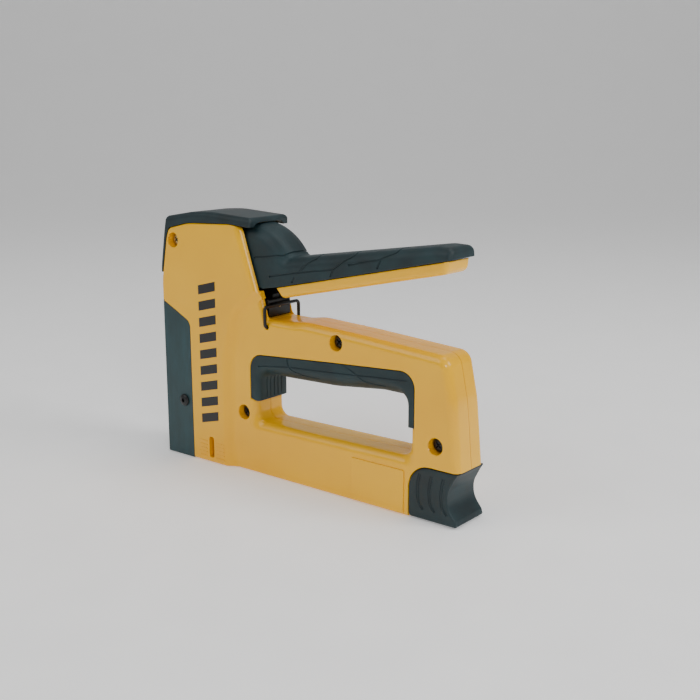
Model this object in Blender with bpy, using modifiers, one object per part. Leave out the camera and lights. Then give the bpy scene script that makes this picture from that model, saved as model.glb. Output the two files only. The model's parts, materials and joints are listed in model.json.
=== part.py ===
"""Hand tacker (staple gun): a die-cast body in two halves with a squeeze lever and a rear-loading magazine.

Sizes are in millimetres and MM turns them into metres. Outlines are drawn in the side view,
with x measured back from the front of the nose and z up from the flat base.
The shared frame has its origin under the middle of the length, with the nose towards -X,
the lever on top, and the left half of the body on the -Y side.
"""
import math

import bmesh
import bpy
from mathutils import Matrix, Vector

MM = 0.001

# Overall sizes
LENGTH = 190.0            # front of the nose to the back of the magazine knob
NOSE_DEPTH = 51.0         # front of the nose to the step where the body narrows
NOSE_TOP = 129.6          # top of the painted nose, under the cap
DECK = 82.7               # top of the body behind the nose
NOSE_HALF = 14.9          # half width of the nose
BODY_HALF = 11.5          # half width of the body

# Walls, gaps and roundings
GAP = 0.3                 # clearance between neighbouring pieces
WALL = 2.6                # wall of the body
NOSE_WALL = 3.0           # wall of the nose round the lever
NOSE_CORE_HALF = 10.0     # half width of the plunger bay
NOSE_FRONT = 0.4          # front of the casting, where the nose plate is set into it
STRIP_FOOT = NOSE_TOP - 29.0    # lower end of the cap's front strip
BODY_FILLET = 3.4
NOSE_FILLET = 3.2
ARC_STEP = 18.0           # degrees of turn for each facet of a rounded corner

# Hand hole and its liner
HAND_FRONT = NOSE_DEPTH + 14.3
HAND_REAR = LENGTH - 26.6
HAND_FLOOR = 27.6
POCKET_DEPTH = 3.6        # how far the liner is set into the casting
LINER_FRONT = 6.3         # thickness at the front of the hand hole
LINER_TOP = 12.6          # thickness over the fingers
LINER_REAR = 4.4
LINER_FOOT = 38.6

# Magazine
STAPLE_CROWN = 11.2       # outside width of a staple
STAPLE_LEG = 10.0
STAPLE_WIRE = 1.25
STRIP_PART = 56.0         # length of the part-used strip
CHANNEL_SHEET = 1.2
CHANNEL_FLOOR = NOSE_WALL + GAP
CHANNEL_FRONT = 3.6
KNOB_LENGTH = 27.0
KNOB_HEIGHT = 25.7
KNOB_HALF = 11.8
KNOB_RADIUS = 11.0

# Drive
PLATE_SHEET = 1.5         # nose plate
PLATE_DEPTH = 21.3
PLATE_TOP = 85.5
BLADE_X = 2.0
BLADE_SHEET = 1.2
BLADE_TOP = 62.0
PLUNGER_X = 14.0
PLUNGER_FOOT = 50.0
PLUNGER_TOP = 76.0
PLUNGER_HALF = 7.0
ARM_TIP_Z = 68.0
ARM_HALF = 2.5
SPRING_RADIUS = 6.0
SPRING_WIRE = 1.1
SPRING_TURNS = 6
SEAT_SHEET = 1.5

# Lever
PIVOT_X = NOSE_DEPTH + 16.5
PIVOT_Z = DECK + 7.3
PIN_RADIUS = 2.0
LEVER_TIP = LENGTH - 6.5
LEVER_SLOPE = 0.2182      # rise of the seam between grip and handle
GRIP_SLOPE = 0.148        # rise of the top of the grip
SEAM_BACK = 11.4          # from the pivot back to the front of the handle
SEAM_RISE = 9.3           # height of the seam there above the pivot
HANDLE_THICK = 5.9
GRIP_THICK = 14.0
GRIP_HALF = 10.8
HANDLE_HALF = 9.6
DOME_RADIUS = NOSE_TOP - PIVOT_Z + 1.0
RIVET_COVER = 2.0         # what the handle keeps over the ends of the rivets

# Bracket and lock bail
BAIL_WIRE = 0.9
EAR_OUTSIDE = 8.0
EAR_SHEET = 1.4
NECK_HALF = 8.9
BRACKET_REAR = NOSE_DEPTH + 21.7
BAIL_X = BRACKET_REAR + BAIL_WIRE + 0.6
BAIL_Z = DECK - 3.7
BAIL_HEIGHT = 10.5
BAIL_HALF = BODY_HALF + GAP + BAIL_WIRE + 0.1

# Fasteners
SCREW_RADIUS = 1.9
SCREW_HEAD = 3.5
SCREW_HEAD_HEIGHT = 2.2
RECESS_RADIUS = 3.95
RECESS_DEPTH = 3.0
BOSS_RADIUS = RECESS_RADIUS + 1.45
CAP_BOSS_RADIUS = RECESS_RADIUS + 0.85
CAP_SCREW_X = 9.9
CAP_SCREW_Z = NOSE_TOP - 11.0
SEAT_TOP = CAP_SCREW_Z - CAP_BOSS_RADIUS    # the spring's seat rests under the cap screw's bosses
BUTTON_RADIUS = 3.25
BUTTON_HEIGHT = 1.5
RIVET_RADIUS = 1.0


# ---------------------------------------------------------------- basic tools

def empty_scene():
    """Remove every object that the file starts with."""
    for obj in list(bpy.data.objects):
        bpy.data.objects.remove(obj, do_unlink=True)


def new_collection(name):
    """A collection linked to the scene."""
    made = bpy.data.collections.new(name)
    bpy.context.scene.collection.children.link(made)
    return made


def linear(channel):
    """sRGB channel from 0 to 255 as a linear value."""
    value = channel / 255.0
    if value <= 0.04045:
        return value / 12.92
    return ((value + 0.055) / 1.055) ** 2.4


def material(name, colour, roughness, metallic=0.0):
    """Principled material from an sRGB colour written as a hex number."""
    made = bpy.data.materials.new(name)
    made.use_nodes = True
    shader = made.node_tree.nodes["Principled BSDF"]
    rgb = [linear((colour >> shift) & 255) for shift in (16, 8, 0)]
    shader.inputs["Base Color"].default_value = (*rgb, 1.0)
    shader.inputs["Roughness"].default_value = roughness
    shader.inputs["Metallic"].default_value = metallic
    made.diffuse_color = (*rgb, 1.0)
    return made


def world(x, y, z):
    """Point of the shared frame in metres, from x behind the nose, y and z in millimetres."""
    return Vector(((x - LENGTH / 2) * MM, y * MM, z * MM))


def move_to(obj, collection):
    """Keep an object in one collection only."""
    for owner in list(obj.users_collection):
        owner.objects.unlink(obj)
    collection.objects.link(obj)


def finish(obj, surface, parent=None):
    """Put a piece in the tool's collection with its material, and under its joint's empty."""
    move_to(obj, PARTS)
    obj.data.materials.clear()
    obj.data.materials.append(surface)
    if parent is not None:
        obj.parent = parent
        obj.matrix_parent_inverse = Matrix.Translation(-parent.location)
    return obj


def joint_empty(name, place):
    """Empty on a joint's axis, the parent of what moves there."""
    made = bpy.data.objects.new(name, None)
    made.location = place
    made.empty_display_size = 0.01
    PARTS.objects.link(made)
    return made


def boolean(target, tool, operation):
    """Cut or join with a tool, which becomes a guide."""
    move_to(tool, CUTTERS)
    tool.hide_render = True
    tool.display_type = 'WIRE'
    modifier = target.modifiers.new(tool.name, 'BOOLEAN')
    modifier.operation = operation
    modifier.solver = 'EXACT'
    modifier.object = tool
    return target


def cut(target, tool):
    """Take the tool's shape away."""
    return boolean(target, tool, 'DIFFERENCE')


def join(target, tool):
    """Add the tool's shape."""
    return boolean(target, tool, 'UNION')


# ---------------------------------------------------------------- outlines

def turn_sign(before, here, after):
    """Positive where the outline turns left."""
    one = Vector(here[:2]) - Vector(before[:2])
    two = Vector(after[:2]) - Vector(here[:2])
    return one.x * two.y - one.y * two.x


def grown(corners, distance):
    """Anticlockwise outline moved outwards, or inwards for a negative distance, with its radii."""
    moved = []
    count = len(corners)
    for index, (x, z, radius) in enumerate(corners):
        before = corners[index - 1]
        after = corners[(index + 1) % count]
        into = (Vector((x, z)) - Vector(before[:2])).normalized()
        out = (Vector(after[:2]) - Vector((x, z))).normalized()
        normal_in = Vector((into.y, -into.x))
        normal_out = Vector((out.y, -out.x))
        shift = (normal_in + normal_out) * (distance / (1.0 + normal_in.dot(normal_out)))
        sign = 1.0 if turn_sign(before, (x, z), after) > 0 else -1.0
        new_radius = 0.0 if radius == 0 else max(radius + sign * distance, 0.2)
        moved.append((x + shift.x, z + shift.y, new_radius))
    return moved


def filleted(corners):
    """Points of an outline whose corners carry (x, z, radius)."""
    points = []
    count = len(corners)
    for index, (x, z, radius) in enumerate(corners):
        here = Vector((x, z))
        back = Vector(corners[index - 1][:2]) - here
        ahead = Vector(corners[(index + 1) % count][:2]) - here
        opening = back.angle(ahead)
        turn = math.pi - opening
        if radius <= 0 or turn < 0.01:
            points.append(here)
            continue
        reach = min(radius / math.tan(opening / 2), 0.48 * back.length, 0.48 * ahead.length)
        fitted = reach * math.tan(opening / 2)
        bisector = (back.normalized() + ahead.normalized()).normalized()
        centre = here + bisector * (fitted / math.sin(opening / 2))
        start = here + back.normalized() * reach - centre
        side = 1.0 if back.x * ahead.y - back.y * ahead.x < 0 else -1.0
        steps = max(1, math.ceil(math.degrees(turn) / ARC_STEP))
        for step in range(steps + 1):
            angle = side * turn * step / steps
            points.append(centre + Matrix.Rotation(angle, 2) @ start)
    return points


def slab(name, corners, y_from, y_to):
    """Outline in the side view given a width: a flat filled curve, extruded and made a mesh."""
    curve = bpy.data.curves.new(name + "_outline", 'CURVE')
    curve.dimensions = '2D'
    curve.fill_mode = 'BOTH'
    curve.extrude = abs(y_to - y_from) / 2 * MM
    points = filleted(corners)
    spline = curve.splines.new('POLY')
    spline.points.add(len(points) - 1)
    for target, point in zip(spline.points, points):
        target.co = ((point.x - LENGTH / 2) * MM, point.y * MM, 0.0, 1.0)
    spline.use_cyclic_u = True
    drawn = bpy.data.objects.new(name + "_drawn", curve)
    drawn.rotation_euler = (math.pi / 2, 0.0, 0.0)
    drawn.location = (0.0, (y_from + y_to) / 2 * MM, 0.0)
    return as_mesh(drawn, name)


def as_mesh(drawn, name):
    """Turn a curve object into a welded mesh object in the same place."""
    bpy.context.scene.collection.objects.link(drawn)
    bpy.context.view_layer.update()
    graph = bpy.context.evaluated_depsgraph_get()
    mesh = bpy.data.meshes.new_from_object(drawn.evaluated_get(graph))
    mesh.name = name
    work = bmesh.new()
    work.from_mesh(mesh)
    bmesh.ops.remove_doubles(work, verts=work.verts, dist=0.000001)
    bmesh.ops.dissolve_limit(work, angle_limit=0.002, verts=work.verts, edges=work.edges)
    bmesh.ops.recalc_face_normals(work, faces=work.faces)
    work.to_mesh(mesh)
    work.free()
    made = bpy.data.objects.new(name, mesh)
    made.matrix_world = drawn.matrix_world.copy()
    bpy.context.scene.collection.objects.link(made)
    bpy.data.objects.remove(drawn, do_unlink=True)
    return made


def round_sides(obj, width, sides=(-1, 1), segments=2, keep=None):
    """Round the edges where a slab's flat sides meet its rim; sides are the signs of Y."""
    work = bmesh.new()
    work.from_mesh(obj.data)
    half = max(vert.co.z for vert in work.verts)
    chosen = []
    for edge in work.edges:
        one, two = edge.verts
        flat_side = abs(one.co.z - two.co.z) < 1e-6 and abs(abs(one.co.z) - half) < 1e-6
        side = -1 if one.co.z > 0 else 1
        if not flat_side or side not in sides or edge.calc_face_angle(0.0) < 0.5:
            continue
        middle = (one.co + two.co) / 2
        if keep is None or keep(middle.x / MM + LENGTH / 2, middle.y / MM):
            chosen.append(edge)
    bmesh.ops.bevel(work, geom=chosen, offset=width * MM, offset_type='OFFSET', segments=segments,
                    profile=0.5, affect='EDGES', material=-1, clamp_overlap=False)
    work.to_mesh(obj.data)
    work.free()
    return obj


def box(name, x, y, z):
    """Box between pairs of x, y and z in millimetres."""
    work = bmesh.new()
    bmesh.ops.create_cube(work, size=1.0)
    size = Vector((abs(x[1] - x[0]), abs(y[1] - y[0]), abs(z[1] - z[0]))) * MM
    bmesh.ops.scale(work, vec=size, verts=work.verts)
    mesh = bpy.data.meshes.new(name)
    work.to_mesh(mesh)
    work.free()
    made = bpy.data.objects.new(name, mesh)
    made.location = world((x[0] + x[1]) / 2, (y[0] + y[1]) / 2, (z[0] + z[1]) / 2)
    bpy.context.scene.collection.objects.link(made)
    bpy.context.view_layer.update()
    return made


def rod(name, radius, x, z, y, segments=20):
    """Cylinder across the tool, along Y between the two values of y."""
    work = bmesh.new()
    bmesh.ops.create_cone(work, cap_ends=True, segments=segments, radius1=radius * MM,
                          radius2=radius * MM, depth=abs(y[1] - y[0]) * MM)
    mesh = bpy.data.meshes.new(name)
    work.to_mesh(mesh)
    work.free()
    made = bpy.data.objects.new(name, mesh)
    made.location = world(x, (y[0] + y[1]) / 2, z)
    made.rotation_euler = (math.pi / 2, 0.0, 0.0)
    bpy.context.scene.collection.objects.link(made)
    bpy.context.view_layer.update()
    return made


def turned(name, profile, place, rotation, steps=20):
    """Turned piece from (radius, height) pairs that run down its outer side."""
    mesh = bpy.data.meshes.new(name)
    verts = [(radius * MM, 0.0, height * MM) for radius, height in profile]
    mesh.from_pydata(verts, [(i, i + 1) for i in range(len(verts) - 1)], [])
    made = bpy.data.objects.new(name, mesh)
    made.location = place
    made.rotation_euler = rotation
    bpy.context.scene.collection.objects.link(made)
    screw = made.modifiers.new("turn", 'SCREW')
    screw.steps = steps
    screw.render_steps = steps
    screw.use_merge_vertices = True
    screw.merge_threshold = 0.00001
    screw.use_smooth_shade = False
    return made


def wire(name, points, radius, sides=2):
    """Round wire through world points."""
    curve = bpy.data.curves.new(name, 'CURVE')
    curve.dimensions = '3D'
    curve.bevel_depth = radius * MM
    curve.bevel_resolution = sides
    curve.use_fill_caps = True
    spline = curve.splines.new('POLY')
    spline.points.add(len(points) - 1)
    for target, point in zip(spline.points, points):
        target.co = (*point, 1.0)
    return as_mesh(bpy.data.objects.new(name + "_drawn", curve), name)


def coil_points(radius, turns, length, per_turn=10):
    """Points of a helix along +Z from 0, in millimetres."""
    total = int(turns * per_turn)
    points = []
    for index in range(total + 1):
        angle = 2 * math.pi * index / per_turn
        points.append(Vector((radius * math.cos(angle), radius * math.sin(angle), length * index / total)))
    return points


# ---------------------------------------------------------------- outlines of the pieces

def nose_corners():
    """Wide front of the casting."""
    top_x = NOSE_DEPTH + 1.0
    return [
        (NOSE_FRONT, 0.0, 0.0),
        (NOSE_DEPTH, 0.0, 0.0),
        (NOSE_DEPTH + 0.8, DECK - 24.0, 20.0),
        (NOSE_DEPTH + 6.6, DECK - 0.9, 8.0),
        (NOSE_DEPTH + 20.4, DECK + 10.6, 0.0),
        (NOSE_DEPTH + 8.2, NOSE_TOP - 1.0, 3.8),
        (top_x, NOSE_TOP, 20.0),
        (0.41 * top_x, NOSE_TOP - 1.4, 30.0),
        (7.0, NOSE_TOP - 4.9, 3.4),
        (5.0, NOSE_TOP - 9.1, 20.0),
        (NOSE_FRONT, NOSE_TOP - 33.1, 30.0),
    ]


def core_corners():
    """Hollow of the nose, with a full wall behind the nose plate too."""
    front = PLATE_SHEET + NOSE_WALL
    return [(max(x, front), z, radius) for x, z, radius in grown(nose_corners(), -NOSE_WALL)]


def knob_corners():
    """Magazine knob, without its dished back."""
    front = LENGTH - KNOB_LENGTH
    return [
        (front, 0.4, 1.8),
        (LENGTH, 0.4, 1.8),
        (LENGTH, KNOB_HEIGHT, 1.8),
        (front, KNOB_HEIGHT, KNOB_RADIUS),
    ]


def body_corners():
    """Body behind the nose, with the corner that the knob fills left out."""
    front = LENGTH - KNOB_LENGTH - GAP
    shelf = KNOB_HEIGHT + GAP
    return [
        (NOSE_DEPTH - 8.0, 0.0, 0.0),
        (front, 0.0, 0.0),
        (front, shelf, KNOB_RADIUS + GAP),
        (LENGTH, shelf, 0.0),
        (LENGTH - 2.9, (shelf + DECK) / 2 + 2.6, 60.0),
        (LENGTH - 7.6, DECK - 3.6, 6.5),
        (NOSE_DEPTH + 81.0, DECK - 0.2, 80.0),
        (NOSE_DEPTH + 46.0, DECK + 1.5, 30.0),
        (NOSE_DEPTH + 35.0, DECK - 0.1, 25.0),
        (NOSE_DEPTH + 22.4, DECK, 3.0),
        (NOSE_DEPTH + 19.8, DECK + 9.5, 0.0),
        (NOSE_DEPTH + 4.0, DECK + 16.0, 0.0),
        (NOSE_DEPTH - 8.0, DECK - 20.0, 0.0),
    ]


def hand_corners():
    """Hand hole in the casting, with the pocket that the liner sits in."""
    return [
        (HAND_FRONT, HAND_FLOOR, 7.0),
        (HAND_REAR, HAND_FLOOR + 1.0, 7.0),
        (HAND_REAR, LINER_FOOT + 4.2, 0.5),
        (HAND_REAR + 2.2, LINER_FOOT + 4.2, 0.5),
        (HAND_REAR + 2.2, DECK - 12.8, 8.0),
        ((HAND_FRONT + HAND_REAR) / 2, DECK - 15.8, 100.0),
        (HAND_FRONT - POCKET_DEPTH, DECK - 19.3, 8.0),
        (HAND_FRONT - POCKET_DEPTH, LINER_FOOT + 1.0, 0.5),
        (HAND_FRONT, LINER_FOOT, 0.5),
    ]


def liner_corners():
    """Hand hole liner: the pocket's outline outside, the fingers' space inside."""
    outer = grown(hand_corners(), -GAP)[3:8]
    inside_front = HAND_FRONT - POCKET_DEPTH + LINER_FRONT
    inside_rear = HAND_REAR + 2.2 - LINER_REAR
    belly = DECK - 12.8 - 4.2 - LINER_TOP
    foot_rear = LINER_FOOT + 4.2 + GAP
    return outer + [
        (HAND_FRONT - GAP, LINER_FOOT + GAP, 1.0),
        (inside_front, LINER_FOOT + GAP, 0.5),
        (inside_front, belly - 0.6, 4.0),
        (inside_front + 16.0, belly - 0.8, 30.0),
        ((inside_front + inside_rear) / 2, belly, 60.0),
        (inside_rear - 18.0, belly + 3.0, 30.0),
        (inside_rear, belly + 2.8, 5.0),
        (inside_rear, foot_rear, 0.5),
    ]


def plate_corners():
    """Side view of the steel nose plate."""
    return [
        (0.0, 0.0, 0.0),
        (PLATE_DEPTH, 0.0, 0.0),
        (PLATE_DEPTH - 0.2, PLATE_TOP - 10.2, 5.0),
        (9.5, PLATE_TOP - 4.4, 20.0),
        (0.0, PLATE_TOP, 0.0),
    ]


def seam_z(x):
    """Height of the seam between the grip and the handle."""
    return PIVOT_Z + SEAM_RISE + (x - PIVOT_X - SEAM_BACK) * LEVER_SLOPE


def handle_z(x):
    """Height of the underside of the handle."""
    return seam_z(x) - HANDLE_THICK


def grip_z(x):
    """Height of the top of the grip."""
    start = PIVOT_X + 21.0
    return seam_z(start) + GRIP_THICK + (x - start) * GRIP_SLOPE


def dome_point(angle, radius):
    """Point of the dome, at an angle back from straight above the pivot."""
    bend = math.radians(angle)
    return (PIVOT_X + radius * math.sin(bend), PIVOT_Z + radius * math.cos(bend), 0.0)


def grip_corners():
    """Rubber grip with its dome, which is hidden in the nose at its front."""
    tip = LEVER_TIP
    front = PIVOT_X + SEAM_BACK - 8.0
    back = PIVOT_X + 20.6
    return [
        (front, PIVOT_Z + 8.2, 0.5),
        (front + 8.0, seam_z(front + 8.0) + GAP, 0.0),
        (tip, seam_z(tip) + GAP, 0.5),
        (tip - 0.5, grip_z(tip) - 1.6, 5.0),
        (tip - 9.0, grip_z(tip - 9.0), 10.0),
        (back, grip_z(back), 2.0),
        dome_point(34.0, DOME_RADIUS - 7.2),
        dome_point(24.0, DOME_RADIUS - 5.7),
        dome_point(15.0, DOME_RADIUS - 3.7),
        dome_point(6.0, DOME_RADIUS - 1.4),
        dome_point(-3.0, DOME_RADIUS),
        dome_point(-12.0, DOME_RADIUS),
        dome_point(-21.0, DOME_RADIUS),
        (PIVOT_X - 14.5, PIVOT_Z + 12.0, 2.0),
    ]


def handle_corners():
    """Painted handle under the grip."""
    front = PIVOT_X + SEAM_BACK
    tip = LEVER_TIP - 2.8
    low = PIVOT_X + SEAM_BACK + 4.5
    return [
        (low, handle_z(low), 1.0),
        (tip - 0.6, handle_z(tip), 3.5),
        (tip, seam_z(tip), 0.3),
        (front, seam_z(front), 0.3),
    ]


def arm_corners():
    """Steel arm: from the plunger over the pivot and back into the handle."""
    tail = PIVOT_X + 46.0
    boss = PIN_RADIUS + 1.5
    bend = PIVOT_X - 15.0
    return [
        (PLUNGER_X - 1.0, ARM_TIP_Z - 2.2, 2.0),
        (PLUNGER_X + 10.0, ARM_TIP_Z - 2.0, 8.0),
        (bend, PIVOT_Z - 4.8, 5.0),
        (PIVOT_X - 2.5, PIVOT_Z - boss, 2.0),
        (PIVOT_X + boss, PIVOT_Z - boss, 3.0),
        (PIVOT_X + boss - 0.9, PIVOT_Z + 4.6, 1.0),
        (PIVOT_X + 14.0, handle_z(PIVOT_X + 14.0) + 2.6, 2.0),
        (tail, handle_z(tail) + 2.4, 1.0),
        (tail, seam_z(tail) + 3.0, 1.0),
        (PIVOT_X + 9.0, PIVOT_Z + 14.4, 6.0),
        (bend, PIVOT_Z + 3.6, 8.0),
        (PLUNGER_X + 9.0, ARM_TIP_Z + 3.0, 8.0),
        (PLUNGER_X - 1.0, ARM_TIP_Z + 2.2, 2.0),
    ]


def cap_corners():
    """Moulded cap over the top of the nose, with a thin strip down its front."""
    rear = NOSE_DEPTH + 15.2
    over = GAP
    top_x = NOSE_DEPTH + 1.0
    return [
        (top_x, NOSE_TOP + over, 0.0),
        (rear, NOSE_TOP - 0.9, 0.5),
        (rear + 0.3, NOSE_TOP + 3.9, 2.0),
        (36.5, NOSE_TOP + 5.5, 60.0),
        (23.8, NOSE_TOP + 4.7, 40.0),
        (4.0, NOSE_TOP + 1.3, 2.6),
        (2.4, NOSE_TOP - 7.6, 0.0),
        (0.15, NOSE_TOP - 22.6, 0.0),
        (0.1, STRIP_FOOT, 0.0),
        (NOSE_FRONT + 0.5, STRIP_FOOT, 0.0),
        (4.68, NOSE_TOP - 9.0, 0.0),
        (6.8, NOSE_TOP - 4.55, 3.4),
        (0.41 * top_x, NOSE_TOP - 1.4 + over, 30.0),
    ]


# ---------------------------------------------------------------- pieces of the body

def side_span(side, far, near=GAP / 2):
    """Pair of y values from the middle plane outwards on one side."""
    return (side * near, side * far)


def screw_places():
    """Axes of the three body screws and the cap screw: name, x, z, half width there and boss radius."""
    return [
        ("housing_screw_front", NOSE_DEPTH + 5.6, HAND_FLOOR + 3.7, BODY_HALF, BOSS_RADIUS),
        ("housing_screw_top", (HAND_FRONT + HAND_REAR) / 2 + 4.6, DECK - 5.7, BODY_HALF, BOSS_RADIUS),
        ("housing_screw_rear", LENGTH - 12.6, HAND_FLOOR + 9.3, BODY_HALF, BOSS_RADIUS),
        ("cap_screw", CAP_SCREW_X, CAP_SCREW_Z, NOSE_HALF, CAP_BOSS_RADIUS),
    ]


def hollow_body(name, side):
    """Cutter for the hollow of the body, clear of the hand hole and the knob."""
    y = (-side * 1.0, side * (BODY_HALF - WALL))
    hollow = slab(name + "_body_hollow", grown(body_corners(), -WALL), *y)
    wide = (-side * 3.0, side * (BODY_HALF + 3.0))
    cut(hollow, slab(name + "_hand_wall", grown(hand_corners(), WALL), *wide))
    return hollow


def lever_bay(name, side):
    """Cutter for the bay that the dome of the lever swings in."""
    corners = [
        (PIVOT_X - 24.0, DECK + 3.0, 0.0),
        (NOSE_DEPTH + 3.6, DECK + 3.0, 0.0),
        (NOSE_DEPTH + 17.0, DECK + 14.2, 0.0),
        (NOSE_DEPTH + 30.0, DECK + 14.2, 0.0),
        (NOSE_DEPTH + 30.0, NOSE_TOP + 12.0, 0.0),
        (PIVOT_X - 24.0, NOSE_TOP + 12.0, 0.0),
    ]
    return slab(name + "_lever_bay", corners, -side * 1.0, side * (NOSE_HALF - NOSE_WALL))


def housing_half(name, side, paint):
    """One half of the die-cast body; side is -1 for the left half."""
    half = slab(name, body_corners(), *side_span(side, BODY_HALF))
    round_sides(half, BODY_FILLET, (side,))
    nose = slab(name + "_nose", nose_corners(), *side_span(side, NOSE_HALF))
    round_sides(nose, NOSE_FILLET, (side,), keep=lambda x, z: z > 0.5)
    join(half, nose)
    wide = (-side * 3.0, side * (NOSE_HALF + 3.0))
    cut(half, slab(name + "_hand_hole", hand_corners(), *wide))
    cut(half, hollow_body(name, side))
    cut(half, slab(name + "_nose_hollow", core_corners(), -side * 1.0, side * NOSE_CORE_HALF))
    cut(half, lever_bay(name, side))
    neck_z = (DECK + 0.2, DECK + 16.5)
    neck_x = (NOSE_DEPTH - 2.0, NOSE_DEPTH + 30.0)
    cut(half, box(name + "_neck", neck_x, (-side, side * NECK_HALF), neck_z))
    shelf_x = (PLATE_SHEET + NOSE_WALL + 1.0, NOSE_DEPTH - 20.0)
    shelf_y = side_span(side, NOSE_CORE_HALF + 1.0)
    join(half, box(name + "_bumper_shelf", shelf_x, shelf_y, (PLUNGER_FOOT - 14.0, PLUNGER_FOOT - 10.5)))
    for screw, x, z, surface, boss in screw_places():
        join(half, rod(name + "_boss_" + screw, boss, x, z, side_span(side, surface - 1.0)))
    cut_nose_front(half, name, side)
    cut_magazine_ways(half, name, side)
    for screw, x, z, surface, _ in screw_places():
        cut_screw_hole(half, name + "_" + screw, x, z, surface, side)
    hole = (side * (BODY_HALF - WALL - 1.0), side * (BODY_HALF + 1.0))
    cut(half, rod(name + "_bail_hole", BAIL_WIRE + GAP, BAIL_X, BAIL_Z, hole, 12))
    return finish(half, paint)


def cut_nose_front(half, name, side):
    """Seat of the nose plate, and the way for the blade."""
    beyond = side * (NOSE_HALF + 3.0)
    seat = side * (NOSE_HALF - PLATE_SHEET - GAP)
    cut(half, slab(name + "_plate_seat", grown(plate_corners(), GAP), seat, beyond))
    front = (-5.0, PLATE_SHEET + GAP)
    cut(half, box(name + "_plate_front", front, (-side, beyond), (-2.0, PLATE_TOP + GAP)))
    way = (-5.0, PLATE_SHEET + NOSE_WALL + 0.1)
    way_y = (-side, side * (channel_half() + 0.9))
    cut(half, box(name + "_blade_way", way, way_y, (-2.0, PLATE_TOP - 2.0)))
    screw_y = (side * (NOSE_CORE_HALF + 0.8), side * NOSE_HALF)
    cut(half, rod(name + "_nose_screw_hole", SCREW_RADIUS + GAP, *nose_screw_place(), screw_y, 16))


def nose_screw_place():
    """Axis of the nose screws in the side view."""
    return (PLATE_DEPTH - 6.0, 31.5)


def cut_magazine_ways(half, name, side):
    """Window for the staples, and the way out for the rail at the back."""
    window = (NOSE_DEPTH - 17.6, NOSE_DEPTH - 14.0)
    y = (side * 8.0, side * (NOSE_HALF + 1.0))
    cut(half, box(name + "_window", window, y, (CHANNEL_FLOOR - 0.1, CHANNEL_FLOOR + 11.2)))
    way = (LENGTH - KNOB_LENGTH - 14.0, LENGTH - KNOB_LENGTH + 8.0)
    top = CHANNEL_FLOOR + CHANNEL_SHEET + STAPLE_LEG + 2.6
    cut(half, box(name + "_rail_way", way, (-side, side * (BODY_HALF - WALL)), (CHANNEL_FLOOR, top)))


def cut_screw_hole(half, name, x, z, surface, side):
    """Clearance hole and head recess on the left, blind hole on the right."""
    if side < 0:
        cut(half, rod(name + "_hole", SCREW_RADIUS + GAP, x, z, (1.0, -surface), 16))
        recess = (-surface + RECESS_DEPTH + SCREW_HEAD_HEIGHT + GAP, -surface - 2.0)
        cut(half, rod(name + "_recess", RECESS_RADIUS, x, z, recess, 20))
    else:
        cut(half, rod(name + "_pilot", SCREW_RADIUS + GAP, x, z, (-1.0, surface - WALL - 1.0), 16))


def body_screw(name, x, z, surface, steel):
    """Pan-head screw from the left half into the right half."""
    top = surface - RECESS_DEPTH
    under = top - SCREW_HEAD_HEIGHT
    end = -(surface - WALL - 2.5)
    profile = [
        (0.0, top), (SCREW_HEAD * 0.7, top), (SCREW_HEAD, top - 0.8),
        (SCREW_HEAD, under), (SCREW_RADIUS, under), (SCREW_RADIUS, end), (0.0, end),
    ]
    made = turned(name, profile, world(x, 0.0, z), (math.pi / 2, 0.0, 0.0), 16)
    return finish(made, steel)


def top_cap(black):
    """Cap that runs down the front as a thin strip, hollowed where the dome of the lever swings."""
    half = NOSE_HALF - 0.2
    cap = slab("top_cap", cap_corners(), -half, half)
    round_sides(cap, 2.2, keep=lambda x, z: z > NOSE_TOP - 2.0 and grip_free(x, z))
    swing = NOSE_HALF - NOSE_WALL - GAP
    cut(cap, rod("cap_swing", DOME_RADIUS + 0.4, PIVOT_X, PIVOT_Z, (-swing, swing), 96))
    return finish(cap, black)


def grip_free(x, z):
    """True on the upper side of the cap's outline."""
    return z > NOSE_TOP + 0.5 and (x > 4.0 or z > NOSE_TOP)


def nose_plate(steel):
    """Steel plate folded round the front of the nose."""
    plate = slab("nose_plate", plate_corners(), -NOSE_HALF, NOSE_HALF)
    inside = NOSE_HALF - PLATE_SHEET
    hollow = (PLATE_SHEET, PLATE_DEPTH + 5.0)
    cut(plate, box("nose_plate_hollow", hollow, (-inside, inside), (-5.0, PLATE_TOP + 5.0)))
    for side in (-1, 1):
        y = (side * (inside - 2.0), side * (NOSE_HALF + 2.0))
        cut(plate, rod(f"nose_plate_hole_{side}", SCREW_RADIUS + GAP, *nose_screw_place(), y, 16))
    return finish(plate, steel)


def nose_screw(name, side, steel):
    """Button-head screw through one side of the nose plate."""
    seat = NOSE_HALF + 0.05
    end = NOSE_CORE_HALF + 1.1
    profile = [
        (0.0, seat + BUTTON_HEIGHT), (BUTTON_RADIUS * 0.55, seat + BUTTON_HEIGHT * 0.9),
        (BUTTON_RADIUS * 0.9, seat + BUTTON_HEIGHT * 0.5), (BUTTON_RADIUS, seat + 0.25),
        (BUTTON_RADIUS, seat + 0.2), (SCREW_RADIUS, seat + 0.2), (SCREW_RADIUS, end), (0.0, end),
    ]
    x, z = nose_screw_place()
    made = turned(name, profile, world(x, 0.0, z), (-side * math.pi / 2, 0.0, 0.0), 16)
    return finish(made, steel)


def grip_liner(rubber):
    """Rubber liner over the fingers, rounded along its lower edges."""
    half = BODY_HALF - 0.1
    liner = slab("grip_liner", liner_corners(), -half, half)
    middle = (HAND_FRONT + HAND_REAR) / 2
    reach = (HAND_REAR - HAND_FRONT) / 2 - 3.0
    round_sides(liner, 2.6, keep=lambda x, z: z < DECK - 24.0 and z > LINER_FOOT + 5.0
                and abs(x - middle) < reach)
    return finish(liner, rubber)


# ---------------------------------------------------------------- drive

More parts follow.
